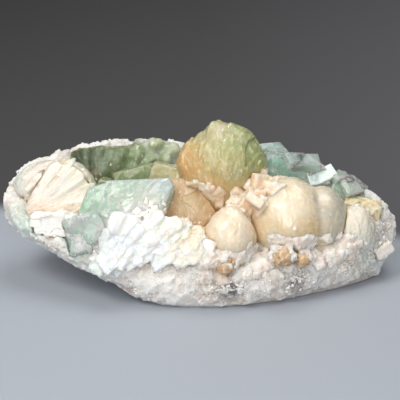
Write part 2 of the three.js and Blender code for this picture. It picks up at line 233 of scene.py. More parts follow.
@dataclass
class Shape:
    """A closed triangle mesh in millimetres, with painted light from 0 to 1 at each point: low for painted
    shade, high for painted highlight.
    """

    points: Array
    faces: Array
    tone: Array | None = None

    @classmethod
    def of_mesh(cls, mesh: bpy.types.Mesh) -> Shape:
        """The triangles of a Blender mesh, with points at one place merged."""
        mesh.calc_loop_triangles()
        points = np.empty(len(mesh.vertices) * 3)
        mesh.vertices.foreach_get("co", points)
        points = points.reshape(-1, 3) / MM
        faces = np.empty(len(mesh.loop_triangles) * 3, int)
        mesh.loop_triangles.foreach_get("vertices", faces)
        rounded = np.round(points, MERGE_DIGITS)
        _, first, where = np.unique(rounded, axis=0, return_index=True, return_inverse=True)
        faces = where.reshape(-1)[faces.reshape(-1, 3)]
        whole = (faces != np.roll(faces, 1, axis=1)).all(axis=1)
        return cls(points[first], faces[whole])

    @classmethod
    def of_node(cls, node: str) -> Shape:
        """The shape of one of the frame's solids."""
        return cls.of_mesh(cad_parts[node].data)

    @classmethod
    def joined(cls, shapes: list[Shape]) -> Shape:
        """Several shapes as one."""
        starts = np.cumsum([0] + [len(shape.points) for shape in shapes[:-1]])
        faces = [shape.faces + start for shape, start in zip(shapes, starts)]
        painted_lights = [np.zeros(len(shape.points)) if shape.tone is None else shape.tone for shape in shapes]
        points = np.vstack([shape.points for shape in shapes])
        return cls(points, np.vstack(faces), np.concatenate(painted_lights))

    @property
    def low(self) -> Array:
        """The lowest corner of the shape's box."""
        return self.points.min(axis=0)

    @property
    def high(self) -> Array:
        """The highest corner of the shape's box."""
        return self.points.max(axis=0)

    def at_share(self, share: Triple) -> Array:
        """A place in the shape's box, from 0 to 1 along each side."""
        return self.low + np.array(share) * (self.high - self.low)

    def face_normals(self) -> Array:
        """Each face's normal, as long as twice the face's area."""
        a, b, c = (self.points[self.faces[:, corner]] for corner in range(3))
        return np.cross(b - a, c - a)

    def normals(self) -> Array:
        """Each point's outward direction."""
        total = np.zeros_like(self.points)
        sides = self.face_normals()
        for corner in range(3):
            np.add.at(total, self.faces[:, corner], sides)
        return unit(total)

    def samples(
        self, count: int, rng: np.random.Generator, weigh: Weigh | None = None
    ) -> tuple[Array, Array]:
        """Places spread over the surface.

        Args:
            count: how many.
            rng: where the draws come from.
            weigh: gives each face its weight from the faces' centres and normals.

        Returns:
            The places and the surface's direction there.
        """
        sides = self.face_normals()
        area = np.linalg.norm(sides, axis=1)
        facing = unit(sides)
        if weigh is not None:
            area = area * weigh(self.points[self.faces].mean(axis=1), facing)
        chosen = rng.choice(len(area), size=count, p=area / area.sum())
        share = rng.dirichlet(EVEN, size=count)
        return np.einsum("ij,ijk->ik", share, self.points[self.faces[chosen]]), facing[chosen]

    def resurfaced(self, voxel: float, smoothing: int) -> Shape:
        """The shape with an even, fine mesh.

        Args:
            voxel: the width of the new faces.
            smoothing: how many times each point moves towards its neighbours.

        Returns:
            The new shape.
        """
        source = self.to_object("resurfacing")
        remesh = source.modifiers.new("even", "REMESH")
        remesh.mode = "VOXEL"
        remesh.voxel_size = voxel * MM
        relax = source.modifiers.new("relax", "SMOOTH")
        relax.iterations = smoothing
        relax.factor = 0.5
        evaluated = source.evaluated_get(bpy.context.evaluated_depsgraph_get())
        result = Shape.of_mesh(evaluated.to_mesh())
        evaluated.to_mesh_clear()
        mesh = source.data
        bpy.data.objects.remove(source)
        bpy.data.meshes.remove(mesh)
        return result

    def refined(self, edge: float) -> Shape:
        """The shape with its long edges split and its corners kept.

        Args:
            edge: no edge stays longer than about this.

        Returns:
            The new shape.
        """
        points, faces = self.points, self.faces
        while True:
            ends = np.sort(faces[:, [[0, 1], [1, 2], [2, 0]]], axis=2).reshape(-1, 2)
            pairs, where = np.unique(ends, axis=0, return_inverse=True)
            lengths = np.linalg.norm(points[pairs[:, 0]] - points[pairs[:, 1]], axis=1)
            long = lengths > edge
            if not long.any():
                return Shape(points, faces)
            middle = np.where(long, len(points) + np.cumsum(long) - 1, -1)
            points = np.vstack([points, points[pairs[long]].mean(axis=1)])
            faces = split_faces(faces, middle[where.reshape(-1)].reshape(-1, 3))

    def sharp_edges(self, angle: float) -> Array:
        """The segments where the surface turns sharply.

        Args:
            angle: the smallest turn that counts, in degrees.

        Returns:
            The two ends of each segment.
        """
        facing = unit(self.face_normals())
        meets: dict[tuple[int, int], list[int]] = {}
        for index, face in enumerate(self.faces):
            for a, b in ((0, 1), (1, 2), (2, 0)):
                meets.setdefault(tuple(sorted((face[a], face[b]))), []).append(index)
        limit = math.cos(math.radians(angle))
        shared = [(ends, sides) for ends, sides in meets.items() if len(sides) == 2]
        sharp = [ends for ends, (left, right) in shared if facing[left] @ facing[right] < limit]
        return self.points[np.array(sharp)]

    def in_box(self) -> Shape:
        """The shape with nothing outside the solids' whole box; its foot may reach down to z = 0."""
        self.points = np.clip(self.points, BOX_LOW + BOX_MARGIN * (BOX_LOW != 0), BOX_HIGH - BOX_MARGIN)
        return self

    def to_object(self, name: str, crease: float = NO_CREASE) -> bpy.types.Object:
        """A Blender object of the shape.

        Args:
            name: the object's name.
            crease: edges that turn more than this many degrees stay sharp.

        Returns:
            The object, in the scene.
        """
        mesh = bpy.data.meshes.new(name)
        mesh.from_pydata(self.points * MM, [], self.faces)
        mesh.validate()
        mesh.polygons.foreach_set("use_smooth", np.ones(len(mesh.polygons), bool))
        if crease < NO_CREASE:
            mesh.set_sharp_from_angle(angle=math.radians(crease))
        if self.tone is not None:
            stored = mesh.attributes.new(PAINTED_LIGHT, "FLOAT", "POINT").data
            stored.foreach_set("value", self.tone.astype(np.float32))
        return in_scene(name, mesh)


def in_scene(name: str, data: bpy.types.ID) -> bpy.types.Object:
    """A new object with its data, linked to the scene."""
    made = bpy.data.objects.new(name, data)
    bpy.context.scene.collection.objects.link(made)
    return made


def split_faces(faces: Array, middles: Array) -> Array:
    """Triangles cut at the middles of some of their sides.

    Args:
        faces: the triangles.
        middles: the point in the middle of each triangle's three sides, or -1 for a side that stays.

    Returns:
        The smaller triangles.
    """
    count = (middles >= 0).sum(axis=1)
    a, b, c = faces[count == 3].T
    p, q, r = middles[count == 3].T
    parts = [faces[count == 0]]
    parts += [np.stack(corners, axis=1) for corners in ((a, p, r), (p, b, q), (r, q, c), (p, q, r))]
    for turn in range(3):
        turned = np.roll(faces, -turn, axis=1)
        cuts = np.roll(middles, -turn, axis=1)
        one = (count == 1) & (cuts[:, 0] >= 0)
        a, b, c = turned[one].T
        p = cuts[one, 0]
        parts += [np.stack(corners, axis=1) for corners in ((a, p, c), (p, b, c))]
        two = (count == 2) & (cuts[:, 2] < 0)
        a, b, c = turned[two].T
        p, q = cuts[two, 0], cuts[two, 1]
        parts += [np.stack(corners, axis=1) for corners in ((p, b, q), (a, p, q), (a, q, c))]
    return np.vstack(parts)


def cut_bar(rings: tuple[tuple[float, Pair], ...]) -> Shape:
    """A crystal of unit size that stands on z = 0: a bar that narrows from one ring to the next.

    Args:
        rings: the height of each ring, with its width and thickness.

    Returns:
        The crystal.
    """
    work = bmesh.new()
    for (z, (wide, deep)), x, y in product(rings, (-1, 1), (-1, 1)):
        work.verts.new((x * wide / 2, y * deep / 2, z))
    bmesh.ops.convex_hull(work, input=work.verts)
    bmesh.ops.triangulate(work, faces=work.faces)
    bmesh.ops.recalc_face_normals(work, faces=work.faces)
    work.verts.index_update()
    points = np.array([corner.co for corner in work.verts])
    faces = np.array([[corner.index for corner in face.verts] for face in work.faces])
    work.free()
    return Shape(points, faces)


def planted(
    crystal: Shape, at: Array, out: Array, side: Array, size: Array, tone: Array | None = None
) -> Shape:
    """Copies of one crystal, each with its own place, directions and size.

    Args:
        crystal: the unit crystal.
        at: where each one's foot is.
        out: the way each one grows.
        side: the way each one's width lies, made square to out.
        size: each one's width, thickness and length.
        tone: each one's painted light at its end, falling to 0 at the foot, for painted shade at the foot and
            painted highlight at the end.

    Returns:
        All the copies as one shape.
    """
    out = unit(out)
    side = square_to(side, out)
    across = np.cross(out, side)
    local = crystal.points[None] * size[:, None]
    basis = np.stack([side, across, out], axis=1)
    points = np.einsum("kni,kij->knj", local, basis) + at[:, None]
    count, corners = points.shape[:2]
    faces = crystal.faces[None] + corners * np.arange(count)[:, None, None]
    shades = None
    if tone is not None:
        shades = (tone[:, None] * crystal.points[None, :, 2]).reshape(-1)
    return Shape(points.reshape(-1, 3), faces.reshape(-1, 3), shades)


BLADE = cut_bar(((0.0, (1.0, 1.0)), (0.86, (1.0, 1.0)), (1.0, (0.55, 0.3))))
BLOCK = cut_bar(((0.0, (1.0, 1.0)), (0.84, (1.0, 1.0)), (1.0, (0.72, 0.72))))
CHIP = cut_bar(((0.0, (1.0, 1.0)), (1.0, (0.6, 0.7))))


# ---------------------------------------------------------------- finishes


def rgb(red: int, green: int, blue: int) -> Colour:
    """A colour given in levels from 0 to 255, as Blender's shaders take it: linear and with alpha."""
    shares = [level / 255 for level in (red, green, blue)]
    return (*((s / 12.92 if s <= 0.04045 else ((s + 0.055) / 1.055) ** 2.4) for s in shares), 1.0)


class Graph:
    """A material's node tree, with a short call for each kind of node. Sizes are in millimetres."""

    OPENNESS_SAMPLES = 4
    RAGGED = 1.4
    PATCH_START = 1.8
    PATCH_FULL = 0.9

    def __init__(self, name: str) -> None:
        """Starts a material with one shader.

        Args:
            name: the material's name.
        """
        self.material = bpy.data.materials.new(name)
        self.material.use_nodes = True
        self.tree = self.material.node_tree
        self.tree.nodes.clear()
        self.output = self.tree.nodes.new("ShaderNodeOutputMaterial")
        self.shader = self.tree.nodes.new("ShaderNodeBsdfPrincipled")
        self.tree.links.new(self.shader.outputs[0], self.output.inputs["Surface"])
        place = self.tree.nodes.new("ShaderNodeTexCoord").outputs["Object"]
        self.place = self.vector("SCALE", place, scale=1 / MM)

    def plug(self, value: object, socket: Socket) -> None:
        """Fills a socket with a plain value, or links another socket to it."""
        if isinstance(value, Socket):
            self.tree.links.new(value, socket)
        else:
            socket.default_value = value

    def add(self, kind: str, values: dict, **settings: object) -> bpy.types.Node:
        """A node with its sockets filled.

        Args:
            kind: Blender's name for the node.
            values: a number, colour or socket for each input by name or place.
            **settings: the node's own properties.

        Returns:
            The node.
        """
        node = self.tree.nodes.new(kind)
        for key, value in settings.items():
            setattr(node, key, value)
        for key, value in values.items():
            self.plug(value, node.inputs[key])
        return node

    def set(self, **values: object) -> None:
        """Fills the shader's sockets, with _ for each space in a name."""
        for key, value in values.items():
            self.plug(value, self.shader.inputs[key.replace("_", " ")])

    def vector(self, operation: str, *values: object, scale: float | None = None) -> Socket:
        """One operation on vectors.

        Args:
            operation: Blender's name for it.
            *values: the vectors.
            scale: the factor, for the operation SCALE only.

        Returns:
            A vector, or a number for a distance or a dot product.
        """
        inputs: dict[object, object] = dict(enumerate(values))
        if scale is not None:
            inputs["Scale"] = scale
        node = self.add("ShaderNodeVectorMath", inputs, operation=operation)
        return node.outputs["Value" if operation in ("DISTANCE", "DOT_PRODUCT") else "Vector"]

    def math(self, operation: str, first: object, second: object) -> Socket:
        """One sum of two values."""
        return self.add("ShaderNodeMath", {0: first, 1: second}, operation=operation).outputs[0]

    def clouds(self, place: Socket, size: float, detail: float, rough: float) -> Socket:
        """Noise from 0 to 1 over the given coordinates."""
        values = {"Vector": place, "Scale": 1 / size, "Detail": detail, "Roughness": rough}
        return self.add("ShaderNodeTexNoise", values).outputs["Fac"]

    def noise(self, size: float, detail: float = 3.0, rough: float = 0.55, stretch: Triple = EVEN) -> Socket:
        """Cloudy noise from 0 to 1, its clouds of the given size times stretch along each axis."""
        return self.clouds(self.vector("DIVIDE", self.place, stretch), size, detail, rough)

    def radial(self, root: Triple, reach: float, size: float, stretch: Triple) -> Socket:
        """Streaks that run away from a root, from 0 to 1.

        Args:
            root: where they start.
            reach: how far from the root the surface is.
            size: the width of a streak there.
            stretch: how much wider the streaks are along each axis.

        Returns:
            The value.
        """
        way = self.vector("NORMALIZE", self.vector("SUBTRACT", self.place, root))
        scale = tuple(reach / part for part in stretch)
        return self.clouds(self.vector("MULTIPLY", way, scale), size, detail=3.0, rough=0.6)

    def openness(self, reach: float) -> Socket:
        """How open the surface is within reach, from 0 in a crevice to 1 in the open."""
        values = {"Distance": reach * MM}
        return self.add("ShaderNodeAmbientOcclusion", values, samples=self.OPENNESS_SAMPLES).outputs["AO"]

    def tone(self) -> Socket:
        """The painted light stored at the mesh's points: low for painted shade, high for painted highlight.
        """
        return self.add("ShaderNodeAttribute", {}, attribute_name=PAINTED_LIGHT).outputs["Fac"]

    def span(self, value: Socket, start: float, end: float, low: float = 0.0, high: float = 1.0) -> Socket:
        """A value eased from low, where it is start, to high, where it is end."""
        values = {"Value": value, "From Min": start, "From Max": end, "To Min": low, "To Max": high}
        return self.add("ShaderNodeMapRange", values, interpolation_type="SMOOTHSTEP").outputs["Result"]

    def blend(self, factor: object, first: object, second: object) -> Socket:
        """Two colours mixed.

        Args:
            factor: the share of the second.
            first: the colour at factor 0.
            second: the colour at factor 1.

        Returns:
            The colour.
        """
        node = self.add("ShaderNodeMix", {}, data_type="RGBA")
        colours = [socket for socket in node.inputs if socket.type == "RGBA"]
        for socket, value in zip((node.inputs[0], *colours), (factor, first, second)):
            self.plug(value, socket)
        return next(socket for socket in node.outputs if socket.type == "RGBA")

    def along(self, centre: Triple, direction: Triple, length: float) -> Socket:
        """How far a point lies along a line, from 0 at its start to 1 at its end.

        Args:
            centre: the middle of the line.
            direction: the way the line runs.
            length: how long it is.

        Returns:
            The share of the line.
        """
        way = tuple(float(part) for part in unit(np.array(direction)) / length)
        share = self.vector("DOT_PRODUCT", self.vector("SUBTRACT", self.place, centre), way)
        return self.math("ADD", share, 0.5)

    def ramp(self, value: Socket, colours: tuple[Colour, ...]) -> Socket:
        """A row of colours, evenly spaced from 0 to 1.

        Args:
            value: the place in the row.
            colours: the colours.

        Returns:
            The colour there.
        """
        node = self.add("ShaderNodeValToRGB", {0: value})
        stops = node.color_ramp.elements
        while len(stops) < len(colours):
            stops.new(0.5)
        for index, colour in enumerate(colours):
            stops[index].position = index / (len(colours) - 1)
            stops[index].color = colour
        return node.outputs[0]

    def with_stains_and_painted_light(self, colour: Socket, stains_and_painted_light: tuple[StainOrLightPatch, ...]) -> Socket:
        """A colour with ragged patches laid over it: stains, and in some finishes painted highlights and
        painted glow.

        Args:
            colour: what they lie on.
            stains_and_painted_light: each patch's tint, middle, reach, size of its ragged edge and share at
                its middle.

        Returns:
            The colour with its patches.
        """
        for tint, centre, radius, grain, share in stains_and_painted_light:
            offset = self.vector("DISTANCE", self.place, centre)
            ragged = self.math("MULTIPLY", self.noise(grain, detail=4.0), radius * self.RAGGED)
            reach = self.math("ADD", offset, ragged)
            start, full = radius * self.PATCH_START, radius * self.PATCH_FULL
            colour = self.blend(self.span(reach, start, full, high=share), colour, tint)
        return colour

    def bump(self, heights: list[tuple[Socket, float]]) -> Socket:
        """Fine relief from several height fields.

        Args:
            heights: each field and its height.

        Returns:
            The surface's direction.
        """
        normal = self.add("ShaderNodeNewGeometry", {}).outputs["Normal"]
        for field, height in heights:
            values = {"Height": field, "Distance": height * MM, "Normal": normal}
            normal = self.add("ShaderNodeBump", values).outputs[0]
        return normal

    def glitter(self, normal: Socket, size: float, tilt: float) -> Socket:
        """Small flat facets, each tilted its own way.

        Args:
            normal: the surface's direction without them.
            size: the width of a facet.
            tilt: how far a facet leans.

        Returns:
            The surface's direction.
        """
        values = {"Vector": self.place, "Scale": 1 / size}
        drawn = self.add("ShaderNodeTexVoronoi", values).outputs["Color"]
        middle = self.vector("SUBTRACT", drawn, (0.5, 0.5, 0.5))
        lean = self.vector("SCALE", middle, scale=tilt)
        return self.vector("NORMALIZE", self.vector("ADD", normal, lean))


@dataclass(frozen=True)
class Stilbite:
    """Pearly, softly lit blades whose colour drifts from one end of the piece to the other."""

    name: str
    colours: tuple[Colour, ...]
    centre: Triple
    direction: Triple
    length: float
    root: Triple
    # painted shade and glow: the colour laid in crevices and in streak grooves
    painted_crevice_tint: Colour = rgb(226, 160, 92)
    painted_crevice_share: float = 0.5
    # the colour of the painted highlight on streak ridges and where the mesh's painted light is high
    edge: Colour = rgb(252, 244, 226)
    painted_highlight_share: float = 0.3
    # the colour of the painted glints
    painted_glint: Colour = rgb(255, 252, 244)
    painted_glint_share: float = 0.7
    reach: float = 18.0
    streak: Triple = (1.0, 3.0, 3.0)
    streak_share: float = 0.5
    streak_size: float = 1.3
    painted_glint_size: float = 0.6
    glow: float = 3.0
    glow_share: float = 0.8
    glow_colour: Triple = (1.0, 0.75, 0.5)
    drift: float = 0.5
    gloss: float = 0.3
    facet: float = 1.3
    tilt: float = 0.5
    relief: float = 0.6
    stains_and_painted_light: tuple[StainOrLightPatch, ...] = ()

    def material(self) -> bpy.types.Material:
        """The finish as a material.

        Returns:
            The material: colours along the piece, painted shade and glow in crevices, painted highlight on
                streak ridges and painted shade in their grooves, painted glints, painted highlight where the
                mesh's painted light is high, fine relief.
        """
        graph = Graph(self.name)
        place = graph.along(self.centre, self.direction, self.length)
        cloud = graph.math("SUBTRACT", graph.noise(9.0, detail=4.0), 0.5)
        drifted = graph.math("ADD", place, graph.math("MULTIPLY", cloud, self.drift))
        body = graph.with_stains_and_painted_light(graph.ramp(drifted, self.colours), self.stains_and_painted_light)
        # painted shade and glow in crevices: the crevice tint where ambient occlusion finds the surface
        # closed in
        closed = graph.span(graph.openness(8.0), 0.92, 0.3, high=self.painted_crevice_share)
        body = graph.blend(closed, body, self.painted_crevice_tint)
        streaks = graph.radial(self.root, self.reach, self.streak_size, self.streak)
        # painted highlight on the streak ridges and painted shade in their grooves, following the relief that
        # the same streaks raise in the bump below
        body = graph.blend(graph.span(streaks, 0.5, 0.68, high=self.streak_share), body, self.edge)
        body = graph.blend(graph.span(streaks, 0.46, 0.32, high=self.streak_share * 0.6), body, self.painted_crevice_tint)
        # painted glints: small pale dashes along the streaks, shown in patches
        painted_glints = graph.radial(self.root, self.reach, self.painted_glint_size, self.streak)
        painted_glints = graph.span(painted_glints, 0.56, 0.66, high=self.painted_glint_share)
        places = graph.span(graph.noise(3.0), 0.5, 0.62)
        body = graph.blend(graph.math("MULTIPLY", painted_glints, places), body, self.painted_glint)
        # painted highlight: the pale colour laid where the painted light stored on the mesh is high
        colour = graph.blend(graph.math("MULTIPLY", graph.tone(), self.painted_highlight_share), body, self.edge)
        rough = graph.span(graph.noise(2.5), 0.3, 0.7, low=self.gloss - 0.1, high=self.gloss + 0.16)
        graph.set(Base_Color=colour, Roughness=rough, IOR=1.5, Specular_IOR_Level=0.6)
        graph.set(Subsurface_Weight=self.glow_share, Subsurface_Scale=self.glow * MM)
        graph.set(Subsurface_Radius=self.glow_colour)
        fine = graph.noise(1.2, detail=4.0, rough=0.6)
        normal = graph.bump([(streaks, self.relief), (fine, self.relief * 0.6)])
        graph.set(Normal=normal, Coat_Weight=0.5, Coat_Roughness=0.1)
        graph.set(Coat_Normal=graph.glitter(normal, self.facet, self.tilt))
        return graph.material


@dataclass(frozen=True)
class Apophyllite:
    """Clear to milky glassy crystal, tinted by its depth."""

    name: str
    body: Colour
    veil: Colour
    depth: Colour
    density: float
    clear: float = 0.8
    rough: float = 0.08
    veil_share: float = 0.8
    veil_size: float = 7.0
    crack_size: float = 9.0
    crack_stretch: Triple = (1.0, 1.0, 1.8)
    glow: float = 4.0
    glow_colour: Triple = (0.8, 1.0, 0.9)
    refraction: float = 1.535
    facet: float = 6.0
    tilt: float = 0.2
    # the white of the cracks, and of the painted highlight along the edges
    edge: Colour = rgb(252, 255, 252)
    stains_and_painted_light: tuple[StainOrLightPatch, ...] = ()

    def material(self) -> bpy.types.Material:
        """The finish as a material.

        Returns:
            The material: see-through, with white veils and cracks, a painted highlight along its edges, and a
                tint that depth absorbs.
        """
        graph = Graph(self.name)
        veils = graph.noise(self.veil_size, detail=5.0, rough=0.6)
        veils = graph.span(veils, 0.42, 0.66, high=self.veil_share)
        colour = graph.with_stains_and_painted_light(graph.blend(veils, self.body, self.veil), self.stains_and_painted_light)
        wave = graph.noise(self.crack_size, rough=0.5, stretch=self.crack_stretch)
        wave = graph.math("ABSOLUTE", graph.math("SUBTRACT", wave, 0.5), 0.0)
        cracks = graph.span(wave, 0.003, 0.022, low=1.0, high=0.0)
        cracks = graph.math("MULTIPLY", cracks, graph.span(graph.noise(6.0, detail=2.0), 0.42, 0.6))
        # white for the cracks inside, and a painted highlight along the edges where the mesh's painted light
        # is high
        white = graph.math("MAXIMUM", cracks, graph.tone())
        colour = graph.blend(white, colour, self.edge)
        rough = graph.span(graph.noise(4.0, detail=4.0), 0.35, 0.75, low=self.rough, high=self.rough + 0.2)
        rough = graph.math("MAXIMUM", rough, graph.math("MULTIPLY", cracks, 0.7))
        graph.set(Base_Color=colour, Roughness=rough, IOR=self.refraction, Transmission_Weight=self.clear)
        graph.set(Subsurface_Weight=1.0, Subsurface_Scale=self.glow * MM, Subsurface_Radius=self.glow_colour)
        normal = graph.bump([(graph.noise(3.0, detail=5.0), 0.3)])
        graph.set(Normal=graph.glitter(normal, self.facet, self.tilt))
        absorb = graph.add("ShaderNodeVolumeAbsorption", {"Color": self.depth, "Density": self.density})
        graph.plug(absorb.outputs[0], graph.output.inputs["Volume"])
        return graph.material


@dataclass(frozen=True)
class Rind:
    """The rock: white, fine-grained, with grey and tinted stains."""

    name: str
    white: Colour = rgb(242, 240, 237)
    cream: Colour = rgb(236, 226, 216)
    grey: Colour = rgb(120, 116, 120)
    fleck_share: float = 0.9
    # colours of the painted shade in the pits and the painted highlight on the crests
    painted_pit_shade: Colour = rgb(214, 204, 198)
    painted_crest_highlight: Colour = rgb(253, 252, 249)
    glow: float = 2.5
    glow_colour: Triple = (1.0, 0.95, 0.9)
    facet: float = 1.1
    tilt: float = 0.9
    stains_and_painted_light: tuple[StainOrLightPatch, ...] = ()

    def material(self) -> bpy.types.Material:
        """The finish as a material.

        Returns:
            The material: white and cream, with painted shade in its pits and painted highlight on its crests,
                and grey flecks in patches.
        """
        graph = Graph(self.name)
        clouds = graph.span(graph.noise(16.0, detail=4.0), 0.4, 0.65)
        colour = graph.with_stains_and_painted_light(graph.blend(clouds, self.white, self.cream), self.stains_and_painted_light)
        # painted shade in the pits, where the mesh's painted light is low
        colour = graph.blend(graph.span(graph.tone(), 0.4, 0.05, high=0.35), colour, self.painted_pit_shade)
        patches = graph.span(graph.noise(10.0, detail=4.0), 0.5, 0.62)
        fleck = graph.span(graph.noise(1.4, detail=5.0, rough=0.8), 0.53, 0.62, high=self.fleck_share)
        colour = graph.blend(graph.math("MULTIPLY", fleck, patches), colour, self.grey)
        # painted highlight on the crests, where the mesh's painted light is high
        colour = graph.blend(graph.span(graph.tone(), 0.6, 0.95, high=0.6), colour, self.painted_crest_highlight)
        rough = graph.span(graph.noise(1.2), 0.3, 0.7, low=0.3, high=0.8)
        graph.set(Base_Color=colour, Roughness=rough, IOR=1.5)
        graph.set(Subsurface_Weight=0.8, Subsurface_Scale=self.glow * MM, Subsurface_Radius=self.glow_colour)
        coarse = graph.noise(2.6, detail=5.0, rough=0.7)
        normal = graph.bump([(coarse, 1.0), (graph.noise(0.8), 0.3)])
        sparkle = graph.glitter(normal, self.facet, self.tilt)
        graph.set(Normal=normal, Coat_Weight=0.4, Coat_Roughness=0.15, Coat_Normal=sparkle)
        return graph.material


Finish = Stilbite | Apophyllite | Rind


# ---------------------------------------------------------------- pieces


@dataclass
class Piece:
    """One named part of the specimen, built over a solid of the frame and standing for it."""

    node: str
    slot: Slot
    finish: Finish
    seed: int
    crease: float = 35.0

    def shape(self) -> Shape:
        """The dressed shape."""
        raise NotImplementedError

    def dress(self) -> Shape:
        """Builds the piece, gives it its finish and sets it on the body.

        Returns:
            The piece's surface.
        """
        surface = self.shape().in_box()
        finished(surface.to_object(f"{self.node}_grown", self.crease), self.finish, self.node)
        return surface


def finished(made: bpy.types.Object, finish: Finish, node: str | None = None) -> None:
    """Gives an object its material and body, and reports it.

    Args:
        made: the object.
        finish: what its surface is.
        node: the solid it stands for, if any.
    """
    made.data.materials.append(finish.material())
    if node is not None:
        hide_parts(node)
    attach(made, BODY)
    log.info("%s: %d triangles", made.name, len(made.data.polygons))


@dataclass
class Aggregate(Piece):
    """A ball, dome, fan or sheaf of blades that radiate from one root.

    The ribs are cells of noise, measured in blades: one cell for each blade, and broader ones that
    set the coarse steps and the steps of the crown.
    """

    COARSE_SHIFT, COARSE_WIDTH = 31.7, 2.6
    CROWN_SHIFT, CROWN_WIDTH = 11.3, 2.0
    CROWN_START, CROWN_FULL = 0.45, 0.8
    SUNK = 0.8
    BORDER = 0.35
    FIRST_VOXEL = 1.4
    END_DEPTH = 2.5
    END_DRAWS = 8
    END_WOBBLE, END_TWIST = 0.06, 0.12
    END_SPREAD = (0.5, 1.4)
    PLATE_DRAWS = 3
    PLATE_STEEPEST, PLATE_LOWEST = 0.75, -0.5
    PLATE_LIFT = (0.0, 0.16)
    PLATE_SPREAD = (0.45, 1.3)
    PLATE_BACK = 0.6
    PLATE_TWIST = 0.08

    root: Triple = (0.5, 0.5, 0.0)
    flat: Triple = (0.0, 1.0, 0.0)
    blade: Pair = (4.0, 1.4)
    step: float = 0.5
    coarse: float = 0.6
    crown: float = 0.0
    groove: float = 0.25
    voxel: float = 0.4
    smoothing: int = 16
    swell: float = 0.35
    ends: int = 0
    end_size: Triple = (3.0, 0.9, 0.8)
    end_facing: float = 0.35
    tip_way: Triple = (0.0, 0.0, 1.0)
    end_reach: float = -1.0
    plates: int = 0
    plate_size: Triple = (4.0, 0.7, 8.0)
    plate_rise: float = 0.25

    def ribs(self, points: Array, root: Array) -> tuple[Array, Array]:
        """The height of the blade that each point lies on.

        Args:
            points: places on the surface.
            root: where the blades start.

        Returns:
            The heights, and how close each point is to its blade's border, from 0 to 1.
        """
        flat = unit(np.array(self.flat))
        reach = np.linalg.norm(points - root, axis=1).mean()
        way = unit(points - root) * reach
        thin = np.outer(way @ flat, flat)
        spread = (way - thin) / self.blade[0] + thin / self.blade[1]
        noise = Noise(self.seed)
        key, _, _, border = noise.cells(spread, 1.0)
        fine = self.step * (noise.levels[key] - 0.5)
        key, _, _, _ = noise.cells(spread + self.COARSE_SHIFT, self.COARSE_WIDTH)
        broad = self.coarse * (noise.levels[key] - self.SUNK)
        key, _, _, _ = noise.cells(spread + self.CROWN_SHIFT, self.CROWN_WIDTH)
        tip = unit(points - root) @ unit(np.array(self.tip_way))
        crown = self.crown * eased(tip, self.CROWN_START, self.CROWN_FULL)
        broad = broad + crown * (noise.levels[key] - self.SUNK)
        edge = 1 - eased(border, 0.0, self.BORDER)
        return fine + broad - self.groove * edge, edge

    def shape(self) -> Shape:
        """The ribbed body, with blade ends and plates where the piece has them, under one skin.

        Returns:
            The skin, with a light tone along the blades.
        """
        body = Shape.of_node(self.node).resurfaced(self.voxel * self.FIRST_VOXEL, self.smoothing)
        root = body.at_share(self.root)
        height, _ = self.ribs(body.points, root)
        rng = np.random.default_rng(self.seed)
        parts = [body]
        if self.ends:
            parts.append(self.blade_ends(body, root, rng))
        if self.plates:
            parts.append(self.surface_plates(body, root, rng))
        body.points = body.points + body.normals() * (self.swell + height)[:, None]
        skin = Shape.joined(parts).resurfaced(self.voxel, 1)
        height, edge = self.ribs(skin.points, root)
        # painted light: high on the raised blades for a painted highlight, none at their borders
        skin.tone = np.clip(height / max(self.step, 0.1) + 0.5, 0, 1) * (1 - edge)
        return skin

    def blade_ends(self, body: Shape, root: Array, rng: np.random.Generator) -> Shape:
        """Blade ends that stand out where the surface faces away from the root.

        Args:
            body: the surface.
            root: where the blades start.
            rng: where the draws come from.

        Returns:
            The ends.
        """
        at, facing = body.samples(self.ends * self.END_DRAWS, rng)
        out = unit(at - root)
        near_tip = out @ unit(np.array(self.tip_way)) > self.end_reach
        kept = np.flatnonzero((dots(out, facing) > self.end_facing) & near_tip)[: self.ends]
        at, out = at[kept], unit(out[kept] + rng.normal(scale=self.END_WOBBLE, size=(len(kept), 3)))
        wide, thick, proud = self.end_size
        grown = rng.uniform(*self.END_SPREAD, size=(len(kept), 1))
        size = np.hstack([wide * grown, thick * grown**0.5, proud * grown + self.END_DEPTH])
        side = np.cross(out, np.array(self.flat)) + rng.normal(scale=self.END_TWIST, size=out.shape)
        return planted(BLADE, at - out * self.END_DEPTH, out, side, size)

    def surface_plates(self, body: Shape, root: Array, rng: np.random.Generator) -> Shape:
        """Long thin plates that lie in the surface and run away from the root.

        Args:
            body: the surface.
            root: where the blades start.
            rng: where the draws come from.

        Returns:
            The plates.
        """
        at, facing = body.samples(self.plates * self.PLATE_DRAWS, rng)
        out = unit(at - root)
        gentle = np.abs(dots(out, facing)) < self.PLATE_STEEPEST
        kept = np.flatnonzero(gentle & (facing[:, 2] > self.PLATE_LOWEST))[: self.plates]
        at, facing, out = at[kept], facing[kept], out[kept]
        lift = rng.uniform(*self.PLATE_LIFT, size=(len(kept), 1))
        lying = unit(square_to(out, facing) + facing * lift)
        wide, thick, long = self.plate_size
        grown = rng.uniform(*self.PLATE_SPREAD, size=(len(kept), 1))
        size = np.hstack([wide * grown, thick * np.ones_like(grown), long * grown])
        rise = self.plate_rise - thick / 2 + self.swell
        foot = at - lying * long * grown * self.PLATE_BACK + facing * rise
        side = np.cross(lying, facing) + rng.normal(scale=self.PLATE_TWIST, size=out.shape)
        return planted(BLADE, foot, lying, side, size)


